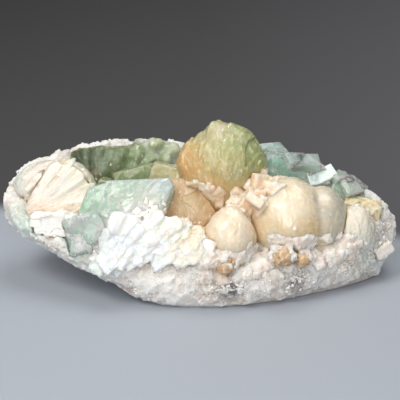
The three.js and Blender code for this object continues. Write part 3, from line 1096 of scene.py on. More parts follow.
@dataclass
class Block(Piece):
    """A flat-faced crystal with crisp worn edges and growth steps on its faces."""

    LEVELS = 3
    STEPS_FROM, STEPS_FULL = 0.3, 1.6
    # widths of the worn band and of the painted edge highlight
    WORN_WIDTH, MARKED_WIDTH = 0.5, 0.8
    LEAST_WEAR = 0.4
    WEAR_SIZE = 2.5

    edge: float = 1.3
    step: float = 0.22
    hill: float = 6.0
    wear: float = 0.35
    swell: float = 0.12
    turn: float = 20.0
    crease: float = 20.0

    def shape(self) -> Shape:
        """The solid's faces, stepped, with their edges worn."""
        return self.worked(Shape.of_node(self.node))

    def worked(self, solid: Shape) -> Shape:
        """Flat faces with growth steps, their edges worn, and painted light along the edges for a painted
        highlight.

        Args:
            solid: the plain crystal or crystals.

        Returns:
            The finer shape.
        """
        fine = solid.refined(self.edge)
        noise = Noise(self.seed)
        away = distance_to(fine.points, solid.sharp_edges(self.turn))
        inner = eased(away, self.STEPS_FROM, self.STEPS_FULL)
        rise = noise.layered(fine.points, self.hill, 3)
        terrace = np.floor(rise * self.LEVELS) / self.LEVELS
        uneven = np.abs(noise.smooth(fine.points, self.WEAR_SIZE))
        uneven = self.LEAST_WEAR + (1 - self.LEAST_WEAR) * uneven
        worn = self.wear * (1 - eased(away, 0.0, self.WORN_WIDTH)) * uneven
        height = self.swell + self.step * terrace * inner - worn
        fine.points = fine.points + fine.normals() * height[:, None]
        # painted light along the edges: 1 at an edge, for a painted edge highlight
        fine.tone = 1 - eased(away, 0.0, self.MARKED_WIDTH)
        return fine


def distance_to(points: Array, segments: Array) -> Array:
    """How far each point is from the nearest of some segments.

    Args:
        points: rows of places.
        segments: the two ends of each segment.

    Returns:
        The distances.
    """
    nearest = np.full(len(points), np.inf)
    for start, end in segments:
        line = end - start
        share = np.clip((points - start) @ line / max(line @ line, TINY), 0, 1)
        nearest = np.minimum(nearest, np.linalg.norm(points - start - share[:, None] * line, axis=1))
    return nearest


@dataclass
class Drapery(Piece):
    """The hollow's lining: soft hanging folds that swell into lumps at one end."""

    HANG = (1.0, 1.6, 3.5)
    LUMP_SHARE = 0.75

    voxel: float = 0.7
    smoothing: int = 14
    swell: float = -0.4
    fold: float = 1.3
    fold_width: float = 8.0
    lump: float = 2.4
    lump_width: float = 8.0
    lump_start: Pair = (-46.0, -30.0)

    def shape(self) -> Shape:
        """The lining with its folds and lumps.

        Returns:
            The lining, with painted highlight on the lumps and the folds' ridges.
        """
        body = Shape.of_node(self.node).resurfaced(self.voxel, self.smoothing)
        noise = Noise(self.seed)
        hung = body.points / np.array(self.HANG)
        folds = noise.layered(hung, self.fold_width, 2)
        _, _, near, _ = noise.cells(body.points, self.lump_width)
        lumps = 1 - eased(near, 0.0, self.lump_width * self.LUMP_SHARE)
        lumps = lumps * eased(body.points[:, 0], *self.lump_start)
        height = self.swell + self.fold * folds + self.lump * (lumps - 0.5)
        body.points = body.points + body.normals() * height[:, None]
        # painted light: high on the lumps and fold ridges for a painted highlight
        body.tone = np.clip(0.3 + folds * 0.4 + lumps * 0.6, 0, 1)
        return body


@dataclass
class Broken(Piece):
    """Rock, or a crystal whose faces are broken, overgrown or dulled."""

    BEND, BEND_SIZE = 3, 9.0
    GRAIN_SHIFT, GRAIN_SIZE, GRAIN_TILT = 50, 1.6, 0.6
    FOOT_FLAT, FOOT_FREE = 0.2, 2.5

    voxel: float = 0.5
    smoothing: int = 4
    swell: float = 0.2
    lump: float = 0.6
    lump_width: float = 9.0
    facet: float = 0.3
    facet_width: float = 3.0
    grain: float = 0.3
    crease: float = 60.0

    def shape(self) -> Shape:
        """The solid's surface with its lumps, broken facets and grains."""
        return self.roughened(Shape.of_node(self.node).resurfaced(self.voxel, self.smoothing))

    def roughened(self, body: Shape) -> Shape:
        """A surface with lumps, broken facets and grains, left flat at its foot.

        Args:
            body: the smooth surface.

        Returns:
            The same surface, rough.
        """
        noise = Noise(self.seed)
        lumps = noise.layered(body.points, self.lump_width, layers=3, keep=0.55)
        bent = body.points + self.BEND * noise.smooth(body.points, self.BEND_SIZE)[:, None]
        broken = noise.facets(bent, self.facet_width, self.facet)
        grains = noise.facets(body.points + self.GRAIN_SHIFT, self.GRAIN_SIZE, self.GRAIN_TILT)
        grains = self.grain * grains
        height = self.swell + self.lump * lumps + broken + grains
        height = height * eased(body.points[:, 2], self.FOOT_FLAT, self.FOOT_FREE)
        body.points = body.points + body.normals() * height[:, None]
        # painted light: high on raised facets and grains for a painted highlight, low on sunk ones for
        # painted shade
        body.tone = np.clip(0.5 + (broken + grains) / (self.facet_width * self.facet), 0, 1)
        return body


@dataclass
class Druse:
    """Many small crystals of one kind, spread over a surface as one mesh.

    With a skin they are remeshed into one rough crust; with fine they stay apart and crisp.
    """

    CREASE = 20.0
    PATCH_SIZE, PATCH_MIDDLE, PATCH_SWING = 9.0, 0.75, 0.5
    PATCH_LIMITS = (0.35, 1.3)
    UNEVEN = (0.8, 1.25)
    # the range of each crystal's painted light strength
    PAINTED_LIGHT_RANGE = (0.3, 1.0)
    TWIST = 0.15
    SKIN_LUMP, SKIN_FACET = 0.3, 0.15
    SKIN_SMOOTHING = (2, 7)
    FINE_STEP = 0.15

    name: str
    slot: Slot
    finish: Finish
    seed: int
    crystal: Shape
    count: int
    size: Triple
    weigh: Weigh
    lean: float = 0.35
    spread: Pair = (0.5, 1.7)
    root: Triple | None = None
    lift: Pair = (0.02, 0.3)
    skin: float = 0.0
    sunk: float = 0.4
    fine: float = 0.0
    rough: float = 1.0
    toward: Triple = (0.0, 0.0, 0.0)
    across: Triple | None = None

    def build(self, ground: Shape) -> None:
        """Sets the crystals on the ground.

        Args:
            ground: the surface that carries them.
        """
        shape = self.grown_on(ground)
        kind = (self.name, self.slot, self.finish, self.seed)
        if self.skin:
            first, more = self.SKIN_SMOOTHING
            facet = self.SKIN_FACET * self.rough
            crust = Broken(*kind, lump=self.SKIN_LUMP * self.rough, facet=facet, grain=facet)
            shape = crust.roughened(shape.resurfaced(self.skin, int(first + more * self.rough)))
        if self.fine:
            shape = Block(*kind, edge=self.fine, step=self.FINE_STEP, wear=self.FINE_STEP).worked(shape)
        finished(shape.in_box().to_object(self.name, self.CREASE), self.finish)

    def grown_on(self, ground: Shape) -> Shape:
        """The plain crystals, each drawn with its own place, lean and size.

        Args:
            ground: the surface that carries them.

        Returns:
            The crystals.
        """
        rng = np.random.default_rng(self.seed)
        at, facing = ground.samples(self.count, rng, self.weigh)
        facing = unit(facing + np.array(self.toward))
        out = unit(self.leaning(at, facing, rng) + rng.normal(scale=self.lean, size=facing.shape))
        patch = self.PATCH_MIDDLE + self.PATCH_SWING * Noise(self.seed).smooth(at, self.PATCH_SIZE)
        grown = (rng.uniform(*self.spread, size=len(at)) * np.clip(patch, *self.PATCH_LIMITS))[:, None]
        size = np.array(self.size) * grown * rng.uniform(*self.UNEVEN, size=(len(at), 3))
        foot = at - out * size[:, 2:] * self.sunk
        side = rng.normal(size=out.shape) if self.root is None else np.cross(out, facing)
        if self.across is not None:
            side = np.array(self.across) + self.TWIST * side
        # painted light on each crystal: painted shade at its foot rising to painted highlight at its tip,
        # with a random strength
        return planted(self.crystal, foot, out, side, size, rng.uniform(*self.PAINTED_LIGHT_RANGE, len(at)))

    def leaning(self, at: Array, facing: Array, rng: np.random.Generator) -> Array:
        """The way each crystal grows: out of the surface, or along it and away from the root.

        Args:
            at: where each one stands.
            facing: the surface's direction there.
            rng: where the draws come from.

        Returns:
            The directions.
        """
        if self.root is None:
            return facing
        lying = square_to(at - np.array(self.root), facing)
        return lying + facing * rng.uniform(*self.lift, size=(len(at), 1))


# ---------------------------------------------------------------- sub-assemblies


FULL_SHARE = 0.4  # the share of a path's reach that has the full weight
CLEAR_START, CLEAR_END = 4.0, 7.0  # millimetres around a bare place
UPWARD = (-0.2, 0.3)  # the heights of a normal that give no weight and the full weight
ROCK_UPWARD = (0.15, 0.6)  # the same on the rock
ROCK_TOP = (20.0, 30.0)  # the heights on the rock that give no weight and the full weight
ROCK_SIDE = 0.02  # the weight of the rock's sides


def near_path(path: Path, reach: float, up: float = -1.0, clear: Path = ()) -> Weigh:
    """Weights that fall off away from a broken line.

    Args:
        path: the line's corners, in millimetres.
        reach: how far the weight spreads.
        up: surfaces whose normal's height is below this get none.
        clear: places around which no crystal stands.

    Returns:
        A function of the faces' centres and normals.
    """
    corners = np.array(path)
    segments = list(zip(corners[:-1], corners[1:]))

    def weigh(centres: Array, facing: Array) -> Array:
        """The weight of each face."""
        fallen = eased(distance_to(centres, segments), reach * FULL_SHARE, reach)
        weight = (1 - fallen) * (facing[:, 2] > up)
        for place in clear:
            away = np.linalg.norm(centres - np.array(place), axis=1)
            weight = weight * eased(away, CLEAR_START, CLEAR_END)
        return weight + TINY

    return weigh


def facing_up(centres: Array, facing: Array) -> Array:
    """Weights for the upper side."""
    return eased(facing[:, 2], *UPWARD) + TINY


def on_top(centres: Array, facing: Array) -> Array:
    """Weights for the rock's upper face, with a few crystals left for its sides."""
    return eased(facing[:, 2], *ROCK_UPWARD) * eased(centres[:, 2], *ROCK_TOP) + ROCK_SIDE


CRUST = Rind("crust", rgb(244, 237, 228), rgb(238, 222, 208), rgb(160, 150, 152), 0.7)
FROST = Stilbite(
    "frost", (rgb(252, 250, 246), rgb(248, 240, 230)), (0, 0, 30), (1, 0, 0), 200.0, (0, 0, 0),
    painted_crevice_tint=rgb(244, 234, 222), painted_crevice_share=0.3, glow=1.0, glow_share=0.3, tilt=0.2, streak_share=0.1,
)
ICE = Stilbite(
    "ice", (rgb(204, 228, 216), rgb(232, 246, 238)), (61, 4, 50), (1, 0, 0), 16.0, (60, 6, 30),
    painted_crevice_tint=rgb(200, 224, 214), painted_crevice_share=0.3, edge=rgb(252, 255, 254), painted_highlight_share=0.8, glow_share=0.5,
    gloss=0.15, streak_share=0.1,
)
MILK = Stilbite(
    "milk", (rgb(232, 246, 240), rgb(252, 253, 250), rgb(252, 250, 243), rgb(240, 224, 198)),
    (-28, -35, 30), (1, 0, 0.3), 56.0, (-60, -46, 2), painted_crevice_tint=rgb(236, 224, 196), painted_crevice_share=0.6,
    edge=rgb(255, 255, 253), reach=40.0, glow=5.0, relief=0.4,
)
BLUSH = Stilbite(
    "blush", (rgb(228, 202, 168), rgb(236, 218, 194)), (5, -12, 46), (1, 0, 0.4), 60.0, (10, -10, 20),
    painted_crevice_tint=rgb(226, 180, 126), painted_crevice_share=0.7, edge=rgb(255, 250, 244),
)


@dataclass
class Ground:
    """The rock and the fine crystals that cover it."""

    rind: Rind = Rind(
        "rock_rind",
        stains_and_painted_light=(
            (rgb(200, 226, 212), (-86.0, -20.0, 36.0), 16.0, 7.0, 0.7),
            (rgb(212, 228, 218), (-58.0, -40.0, 24.0), 14.0, 6.0, 0.6),
            (rgb(206, 218, 210), (86.0, -20.0, 14.0), 16.0, 5.0, 0.6),
            (rgb(196, 156, 136), (-38.0, -42.0, 7.0), 7.0, 3.0, 0.6),
            (rgb(70, 110, 105), (-28.0, -38.0, 4.0), 5.0, 2.0, 0.9),
            (rgb(92, 90, 94), (14.0, -49.0, 12.0), 10.0, 2.5, 0.9),
            (rgb(84, 84, 88), (48.0, -46.0, 10.0), 11.0, 2.0, 0.9),
            (rgb(60, 66, 70), (-90.0, -28.0, 24.0), 4.0, 1.6, 0.85),
        ),
    )

    def build(self) -> Shape:
        """Builds the rock and its druse.

        Returns:
            The rock's dressed surface.
        """
        surface = Broken(
            "matrix", Slot.ROCK, self.rind, 11, voxel=1.0, lump=1.0, lump_width=14.0, facet=0.28,
            facet_width=4.0, grain=0.2,
        ).dress()
        Druse("rock_druse", Slot.WHITE, FROST, 21, CHIP, 1600, (0.8, 0.7, 0.5), on_top).build(surface)
        return surface


@dataclass
class StilbiteGroup:
    """The big ball, the domes on its right and the peach blocks between them."""

    ball: Stilbite = Stilbite(
        "ball_blades",
        (rgb(216, 166, 108), rgb(210, 174, 118), rgb(184, 176, 122), rgb(160, 168, 112), rgb(152, 164, 108)),
        (12.0, 0.0, 60.0), (0.75, 0.1, 0.6), 48.0, (10.0, -1.0, 34.0), painted_crevice_tint=rgb(230, 186, 126),
        painted_crevice_share=0.3, edge=rgb(234, 228, 196), painted_highlight_share=0.15, reach=26.0, streak=(1.0, 2.5, 2.5),
        streak_share=0.35, glow=5.0, gloss=0.25, facet=1.6, relief=0.35,
        stains_and_painted_light=(
            (rgb(194, 184, 150), (6.0, -4.0, 80.0), 14.0, 5.0, 0.7),
            (rgb(234, 196, 138), (2.0, -16.0, 46.0), 16.0, 5.0, 0.7),
        ),
    )
    dome: Stilbite = Stilbite(
        "dome_blades",
        (rgb(226, 194, 148), rgb(228, 206, 168), rgb(234, 218, 190), rgb(224, 210, 188), rgb(200, 195, 180)),
        (48.0, -14.0, 38.0), (0.85, 0.0, 0.35), 54.0, (45.0, -10.0, 18.0), painted_crevice_tint=rgb(236, 204, 160),
        painted_crevice_share=0.35, edge=rgb(248, 240, 222), painted_highlight_share=0.15, reach=26.0, streak=(1.0, 2.5, 2.5),
        streak_share=0.2, glow=8.0, drift=0.8, gloss=0.22, facet=2.4, tilt=0.3, relief=0.2,
        stains_and_painted_light=(
            # painted glow: the warm patch low at the front, where light shines through the domes
            (rgb(228, 194, 136), (54.0, -34.0, 32.0), 13.0, 5.0, 0.8),
            # painted highlight: the pale patch higher on the front
            (rgb(246, 236, 218), (42.0, -30.0, 44.0), 11.0, 5.0, 0.7),
            (rgb(236, 214, 178), (28.0, -28.0, 34.0), 15.0, 5.0, 0.6),
            (rgb(232, 220, 184), (58.0, -10.0, 54.0), 12.0, 5.0, 0.6),
            (rgb(192, 188, 172), (70.0, -20.0, 40.0), 20.0, 5.0, 0.85),
        ),
    )
    front: Stilbite = Stilbite(
        "front_dome_blades",
        (rgb(224, 192, 148), rgb(228, 204, 172), rgb(234, 218, 194), rgb(230, 216, 192)),
        (14.0, -32.0, 32.0), (0.1, -0.2, 0.9), 34.0, (14.0, -28.0, 16.0), painted_crevice_tint=rgb(222, 170, 108),
        edge=rgb(250, 244, 230), painted_highlight_share=0.15, drift=0.6, streak=(1.0, 2.5, 2.5), streak_share=0.2,
        glow=7.0, gloss=0.22, facet=2.4, tilt=0.3, relief=0.2,
    )
    shoulder: Stilbite = Stilbite(
        "shoulder_blades", (rgb(226, 224, 214), rgb(230, 222, 204)), (78.0, -16.0, 30.0), (0, 0, 1), 24.0,
        (78.0, -14.0, 8.0), painted_crevice_tint=rgb(214, 198, 164), streak_share=0.4,
    )

    def build(self) -> list[Shape]:
        """Builds each piece of the group.

        Returns:
            The pieces' surfaces.
        """
        pieces = (
            Aggregate(
                "stilbite_ball", Slot.PEACH, self.ball, 31, root=(0.5, 0.5, 0.05), flat=(0.9, -0.3, 0.2),
                blade=(6.0, 1.5), step=0.1, coarse=0.3, crown=1.5, groove=0.02, voxel=0.44, smoothing=6,
                tip_way=(0.1, 0.1, 1.0), plates=18, plate_size=(3.0, 0.9, 9.0), plate_rise=-0.1,
            ),
            Aggregate(
                "stilbite_domes", Slot.PEACH, self.dome, 32, root=(0.42, 0.6, 0.0), flat=(1.0, 0.2, 0.0),
                blade=(6.0, 1.6), step=0.16, coarse=0.4, groove=0.06, ends=40, end_size=(3.0, 1.0, 0.3),
                end_reach=0.5, plates=60, plate_size=(1.4, 0.8, 6.0), plate_rise=0.12, voxel=0.5,
            ),
            Aggregate(
                "front_dome", Slot.PEACH, self.front, 33, root=(0.5, 0.6, 0.1), flat=(1.0, 0.3, 0.0),
                blade=(4.5, 1.3), step=0.16, coarse=0.3, groove=0.06, ends=40, end_size=(2.4, 0.9, 0.3),
                end_reach=0.4, plates=50, plate_size=(1.2, 0.8, 5.0), plate_rise=0.12,
            ),
            Aggregate(
                "shoulder_dome", Slot.PEARL, self.shoulder, 35, root=(0.5, 0.6, 0.0), flat=(1.0, 0.2, 0.0),
                blade=(8.0, 1.6), step=0.25, groove=0.12, plates=14, plate_size=(1.8, 0.9, 6.0),
                plate_rise=0.1,
            ),
            Broken("peach_blocks", Slot.PEACH, BLUSH, 34, facet_width=4.0, smoothing=8),
        )
        return [piece.dress() for piece in pieces]


@dataclass
class LeftGroup:
    """The pearly dome and fan at the left end, with the white plate below them."""

    pearl: Stilbite = Stilbite(
        "pearl_blades", (rgb(234, 238, 232), rgb(240, 230, 218), rgb(232, 226, 208)), (-74.0, -6.0, 46.0),
        (1, 0, 0.4), 44.0, (-89, -13, 30), painted_crevice_tint=rgb(226, 200, 172), drift=0.8, reach=26.0,
        streak=(2.0, 2.0, 1.0),
    )
    fan: Stilbite = Stilbite(
        "fan_blades", (rgb(244, 216, 194), rgb(247, 236, 224), rgb(247, 240, 228), rgb(236, 232, 204)),
        (-72.0, -10.0, 46.0), (0.85, 0.0, 0.6), 42.0, (-89.0, -13.0, 35.0), painted_crevice_tint=rgb(232, 196, 164),
        edge=rgb(252, 247, 238), reach=26.0, streak=(2.0, 2.0, 1.0), drift=0.3, streak_share=0.7,
    )

    def build(self) -> list[Shape]:
        """Builds each piece of the group.

        Returns:
            The pieces' surfaces.
        """
        pieces = (
            Aggregate(
                "left_dome", Slot.PEARL, self.pearl, 41, root=(0.1, 0.3, 0.0), flat=(-0.2, 1.0, 0.6),
                blade=(6.0, 1.6), step=0.25, coarse=0.7, groove=0.08, voxel=0.5, plates=36,
                plate_size=(2.4, 0.9, 10.0), plate_rise=0.1,
            ),
            Aggregate(
                "pearl_fan", Slot.PEARL, self.fan, 42, root=(-0.02, 0.3, 0.08), flat=(-0.35, 0.1, 0.9),
                blade=(8.0, 1.4), step=0.25, coarse=0.5, groove=0.12, smoothing=12, voxel=0.42, plates=40,
                plate_size=(2.2, 0.8, 12.0), plate_rise=0.08,
            ),
            Broken("white_plate", Slot.WHITE, FROST, 43, facet=0.25, facet_width=6.0, grain=0.1, smoothing=8),
        )
        return [piece.dress() for piece in pieces]


@dataclass
class FrontSheaves:
    """The white and cream sheaves, the white blocks and the orange buds along the front."""

    cream: Stilbite = Stilbite(
        "cream_blades", (rgb(228, 210, 180), rgb(240, 228, 208), rgb(250, 246, 236)), (-12, -35, 32),
        (0.6, -0.3, 0.6), 26.0, (-30, -42, 14), painted_crevice_tint=rgb(226, 200, 156), streak=(1.0, 3.0, 1.0),
    )
    bud: Stilbite = Stilbite(
        "bud_honey", (rgb(192, 148, 100), rgb(206, 174, 132)), (20, -42, 24), (0, 0, 1), 12.0, (30, -38, 16),
        painted_crevice_tint=rgb(200, 152, 104), edge=rgb(244, 230, 208), glow=2.0,
    )

    def build(self) -> list[Shape]:
        """Builds each piece of the group.

        Returns:
            The pieces' surfaces.
        """
        sheaves = (
            ("white_sheaf", Slot.WHITE, MILK, 51, (-0.05, 0.6, -0.1), 1.4),
            ("cream_sheaf", Slot.PEARL, self.cream, 52, (-0.1, 0.6, -0.1), 1.2),
        )
        pieces: list[Piece] = [
            Aggregate(
                node, slot, finish, seed, root=root, flat=(-0.5, 0.1, 0.8), blade=(6.0, 1.8), step=0.4,
                coarse=coarse, groove=0.12, smoothing=8, voxel=0.6,
            )
            for node, slot, finish, seed, root, coarse in sheaves
        ]
        for seed, node in enumerate(("white_block", "white_cube", "tip_crystal"), 53):
            pieces.append(Block(node, Slot.WHITE, FROST, seed, edge=1.0, step=0.4, wear=0.5))
        for seed, side in enumerate(("left", "middle", "right"), 56):
            node = f"orange_bud_{side}"
            pieces.append(Broken(node, Slot.HONEY, self.bud, seed, facet=0.25, swell=-0.2, smoothing=8))
        return [piece.dress() for piece in pieces]


@dataclass
class ClearCrystals:
    """The blocks of apophyllite and the honey crystal between them."""

    green: Apophyllite = Apophyllite(
        "green_crystal", rgb(212, 242, 222), rgb(252, 253, 244), (0.62, 0.93, 0.77, 1.0), 7.0, clear=0.5,
        rough=0.05, veil_share=0.5, facet=9.0, tilt=0.35,
        stains_and_painted_light=(
            (rgb(254, 252, 242), (-28.0, -26.0, 40.0), 22.0, 9.0, 0.95),
            (rgb(252, 254, 250), (-44.0, -34.0, 28.0), 22.0, 9.0, 0.95),
            (rgb(184, 222, 192), (-57.0, -10.0, 46.0), 15.0, 6.0, 0.8),
            # painted highlight: the pale blue patch on the top facet at the upper right
            (rgb(224, 244, 246), (-16.0, -14.0, 55.0), 13.0, 5.0, 0.8),
        ),
    )
    side: Apophyllite = Apophyllite(
        "green_side", rgb(206, 240, 212), rgb(242, 252, 240), (0.5, 0.88, 0.64, 1.0), 10.0, clear=0.52
    )
    hollow: Apophyllite = Apophyllite(
        "hollow_green", rgb(190, 206, 158), rgb(208, 218, 178), (0.62, 0.84, 0.55, 1.0), 18.0, clear=0.55,
        rough=0.1, edge=rgb(232, 234, 200),
    )
    yellow: Apophyllite = Apophyllite(
        "yellow_green", rgb(240, 232, 188), rgb(248, 242, 212), (0.88, 0.84, 0.5, 1.0), 18.0, clear=0.52,
        rough=0.1, edge=rgb(244, 238, 206),
    )
    clear: Apophyllite = Apophyllite(
        "sea_clear", rgb(200, 236, 222), rgb(240, 252, 248), (0.45, 0.84, 0.72, 1.0), 14.0, clear=0.6,
        rough=0.02, veil_size=4.0, facet=5.0, tilt=0.5,
    )
    wedge: Apophyllite = Apophyllite(
        "ice_wedge", rgb(248, 255, 252), rgb(255, 255, 254), (0.8, 0.95, 0.9, 1.0), 3.0, clear=0.5,
        rough=0.06, facet=4.0, tilt=0.5,
    )
    back: Apophyllite = Apophyllite(
        "back_clear", rgb(208, 238, 224), rgb(244, 252, 248), (0.55, 0.87, 0.75, 1.0), 10.0, clear=0.55,
        rough=0.06, tilt=0.4,
    )
    grey: Apophyllite = Apophyllite(
        "grey_clear", rgb(206, 244, 222), rgb(236, 253, 242), (0.8, 0.97, 0.88, 1.0), 2.0, clear=0.5,
        veil_size=4.0,
    )
    honey: Stilbite = Stilbite(
        "honey_crystal", (rgb(184, 140, 84), rgb(190, 154, 102), rgb(198, 170, 126)), (-6.0, -10.0, 40.0),
        (0.1, 0.0, 1.0), 30.0, (-20.0, 0.0, 20.0), painted_crevice_tint=rgb(206, 158, 98), painted_crevice_share=0.35,
        edge=rgb(236, 218, 186), painted_highlight_share=0.35, streak_share=0.15, glow=2.0, gloss=0.15, facet=5.0,
        tilt=0.35,
        # painted highlight: the pale patch at the crystal's centre
        stains_and_painted_light=((rgb(206, 186, 146), (-6.0, -14.0, 42.0), 9.0, 5.0, 0.7),),
    )
    pale: Stilbite = Stilbite(
        "pale_honey", (rgb(214, 198, 156), rgb(226, 214, 182)), (82.0, -4.0, 35.0), (1.0, 0.0, 0.0), 24.0,
        (70.0, 0.0, 20.0), painted_crevice_tint=rgb(214, 184, 128), glow=4.0,
    )
    cloud: Path = ((-46, -36, 28), (-34, -33, 30), (-27, -29, 36), (-23, -26, 41))
    wedge_top: Path = ((54, 2, 56), (66, 2, 50))

    def build(self) -> None:
        """Builds each piece of the group, and the smaller crystals that stand on the blocks."""
        crystal = Block(
            "green_apophyllite", Slot.GREEN, self.green, 61, step=0.5, hill=9.0, turn=38.0, crease=38.0
        ).dress()
        cloud = near_path(self.cloud, 9.0, -0.5)
        Druse(
            "cloud_flakes", Slot.WHITE, FROST, 96, BLOCK, 90, (3.4, 2.4, 1.0), cloud, lean=0.25,
            spread=(0.4, 1.5), sunk=0.75,
        ).build(crystal)
        blocks = {
            node: Block(node, slot, finish, seed, edge=edge, step=step).dress()
            for node, slot, finish, seed, edge, step in (
                ("green_side_block", Slot.GREEN, self.side, 62, 1.1, 0.5),
                ("hollow_block", Slot.GREEN, self.hollow, 63, 1.05, 0.5),
                ("yellow_block", Slot.GREEN, self.yellow, 64, 0.9, 0.5),
                ("clear_apophyllite", Slot.CLEAR, self.clear, 65, 0.9, 0.6),
                ("back_blocks", Slot.CLEAR, self.back, 67, 1.5, 0.5),
                ("clear_wedge", Slot.CLEAR, self.wedge, 66, 1.0, 0.4),
            )
        }
        Broken(
            "grey_apophyllite", Slot.CLEAR, self.grey, 68, facet=0.14, facet_width=9.0, grain=0.02, lump=1.0,
            smoothing=6,
        ).dress()
        clears = ("clear_apophyllite", "back_blocks")
        top = near_path(self.wedge_top, 7.0)
        for name, slot, finish, seed, count, size, nodes, weigh in (
            ("side", Slot.GREEN, self.side, 91, 6, (9.0, 7.0, 3.5), ("green_side_block",), facing_up),
            ("clear", Slot.CLEAR, self.clear, 94, 8, (14.0, 9.0, 5.0), clears, facing_up),
            ("wedge", Slot.WHITE, ICE, 95, 5, (9.5, 6.0, 2.4), ("clear_wedge",), top),
        ):
            Druse(
                f"{name}_crystals", slot, finish, seed, BLOCK, count, size, weigh, lean=0.22,
                spread=(0.6, 1.25), fine=1.0, sunk=0.55, toward=(0.5, -0.5, 1.5), across=(0.8, 0.5, -0.3),
            ).build(Shape.joined([blocks[node] for node in nodes]))
        Broken(
            "honey_crystal", Slot.HONEY, self.honey, 69, facet=0.03, facet_width=10.0, grain=0.02, lump=0.3,
            smoothing=3, crease=25.0,
        ).dress()
        Broken(
            "honey_side_block", Slot.HONEY, self.pale, 70, facet=0.25, facet_width=5.0, grain=0.15,
            smoothing=6,
        ).dress()


@dataclass
class Hollow:
    """The mossy lining of the hollow behind the green crystal."""

    moss: Stilbite = Stilbite(
        "moss", (rgb(58, 74, 36), rgb(68, 88, 48), rgb(126, 144, 102), rgb(186, 194, 168)),
        (-42.0, 28.0, 49.0), (1, 0, 0.3), 56.0, (-40.0, 20.0, 10.0), painted_crevice_tint=rgb(96, 104, 62), painted_crevice_share=0.7,
        edge=rgb(186, 198, 164), painted_highlight_share=0.2, streak=(1.0, 1.0, 8.0), streak_share=0.15, glow=4.0,
        drift=0.6, gloss=0.25,
        stains_and_painted_light=(
            (rgb(128, 104, 70), (-56.0, 24.0, 42.0), 8.0, 4.0, 0.8),
            (rgb(232, 230, 220), (-30.0, 38.0, 60.0), 7.0, 4.0, 0.8),
        ),
    )

    def build(self) -> None:
        """Builds the lining."""
        Drapery("hollow_crust", Slot.MOSS, self.moss, 71).dress()


@dataclass
class Clusters:
    """Small crystals that knit the large pieces together, each kind along its own path."""

    sheaf_root: Triple = (-58.0, -46.0, 2.0)
    buds: Path = ((12.0, -46.0, 21.0), (39.0, -42.0, 24.0), (49.0, -38.0, 21.0))
    front: Path = ((-43, -38, 26), (-34, -38, 29), (-26, -38, 32), (-10, -38, 33), (-4, -38, 28))
    foot: Path = ((-9, -14, 46), (-2, -16, 48), (5, -18, 47))
    neck: Path = ((20, -22, 42), (30, -18, 50), (34, -8, 52))
    nook: Path = ((15, -21, 43), (18, -21, 44))
    apron: Path = ((4, -45, 22), (18, -44, 22), (34, -38, 26), (56, -35, 25), (72, -27, 23))
    ledge: Path = ((-30, -44, 14), (20, -48, 16), (60, -42, 16), (84, -24, 14))
    tip: Path = ((76, -6, 36), (88, -8, 32), (94, -12, 22))

    def build(self, ground: Shape) -> None:
        """Builds each cluster as one mesh.

        Args:
            ground: the surfaces that carry the clusters.
        """
        front = (self.front, 11.0, 0.0)
        apron = (self.apron, 9.0, -0.3, self.buds)
        ledge = (self.ledge, 12.0, -0.6, self.buds)
        upright = {
            "lean": 0.16, "root": self.sheaf_root, "lift": (0.0, 0.1), "sunk": 0.56,
            "toward": (-0.4, -0.9, 0.9), "skin": 0.5, "rough": 0.85,
        }
        blocks = {"lean": 0.2, "sunk": 0.7, "skin": 0.5, "rough": 0.1}
        packed = {"lean": 0.1, "sunk": 0.8, "skin": 0.5, "rough": 0.1}
        crust = {"lean": 0.3, "sunk": 0.78, "skin": 0.5, "rough": 0.7}
        crisp = {"lean": 0.4, "fine": 0.8}
        loose = {"lean": 0.5}
        for name, slot, finish, seed, crystal, count, size, path, options in (
            ("front_blades", Slot.WHITE, MILK, 81, BLADE, 300, (4.4, 1.5, 8.5), front, upright),
            ("foot_crystals", Slot.PEACH, BLUSH, 83, BLOCK, 80, (5.0, 3.2, 2.4), (self.foot, 7.0), blocks),
            ("neck_crystals", Slot.PEACH, BLUSH, 84, BLOCK, 70, (7.5, 5.5, 3.0), (self.neck, 9.0), packed),
            ("nook_crystals", Slot.WHITE, FROST, 88, BLOCK, 4, (3.6, 2.6, 2.4), (self.nook, 4.0), crisp),
            ("dome_apron", Slot.ROCK, CRUST, 87, BLOCK, 560, (3.6, 3.0, 2.8), apron, crust),
            ("front_grains", Slot.WHITE, FROST, 85, BLOCK, 900, (0.8, 0.7, 0.6), ledge, loose),
            ("tip_grains", Slot.WHITE, FROST, 86, BLOCK, 110, (1.3, 1.0, 0.8), (self.tip, 12.0), loose),
        ):
            weigh = near_path(*path)
            Druse(name, slot, finish, seed, crystal, count, size, weigh, **options).build(ground)


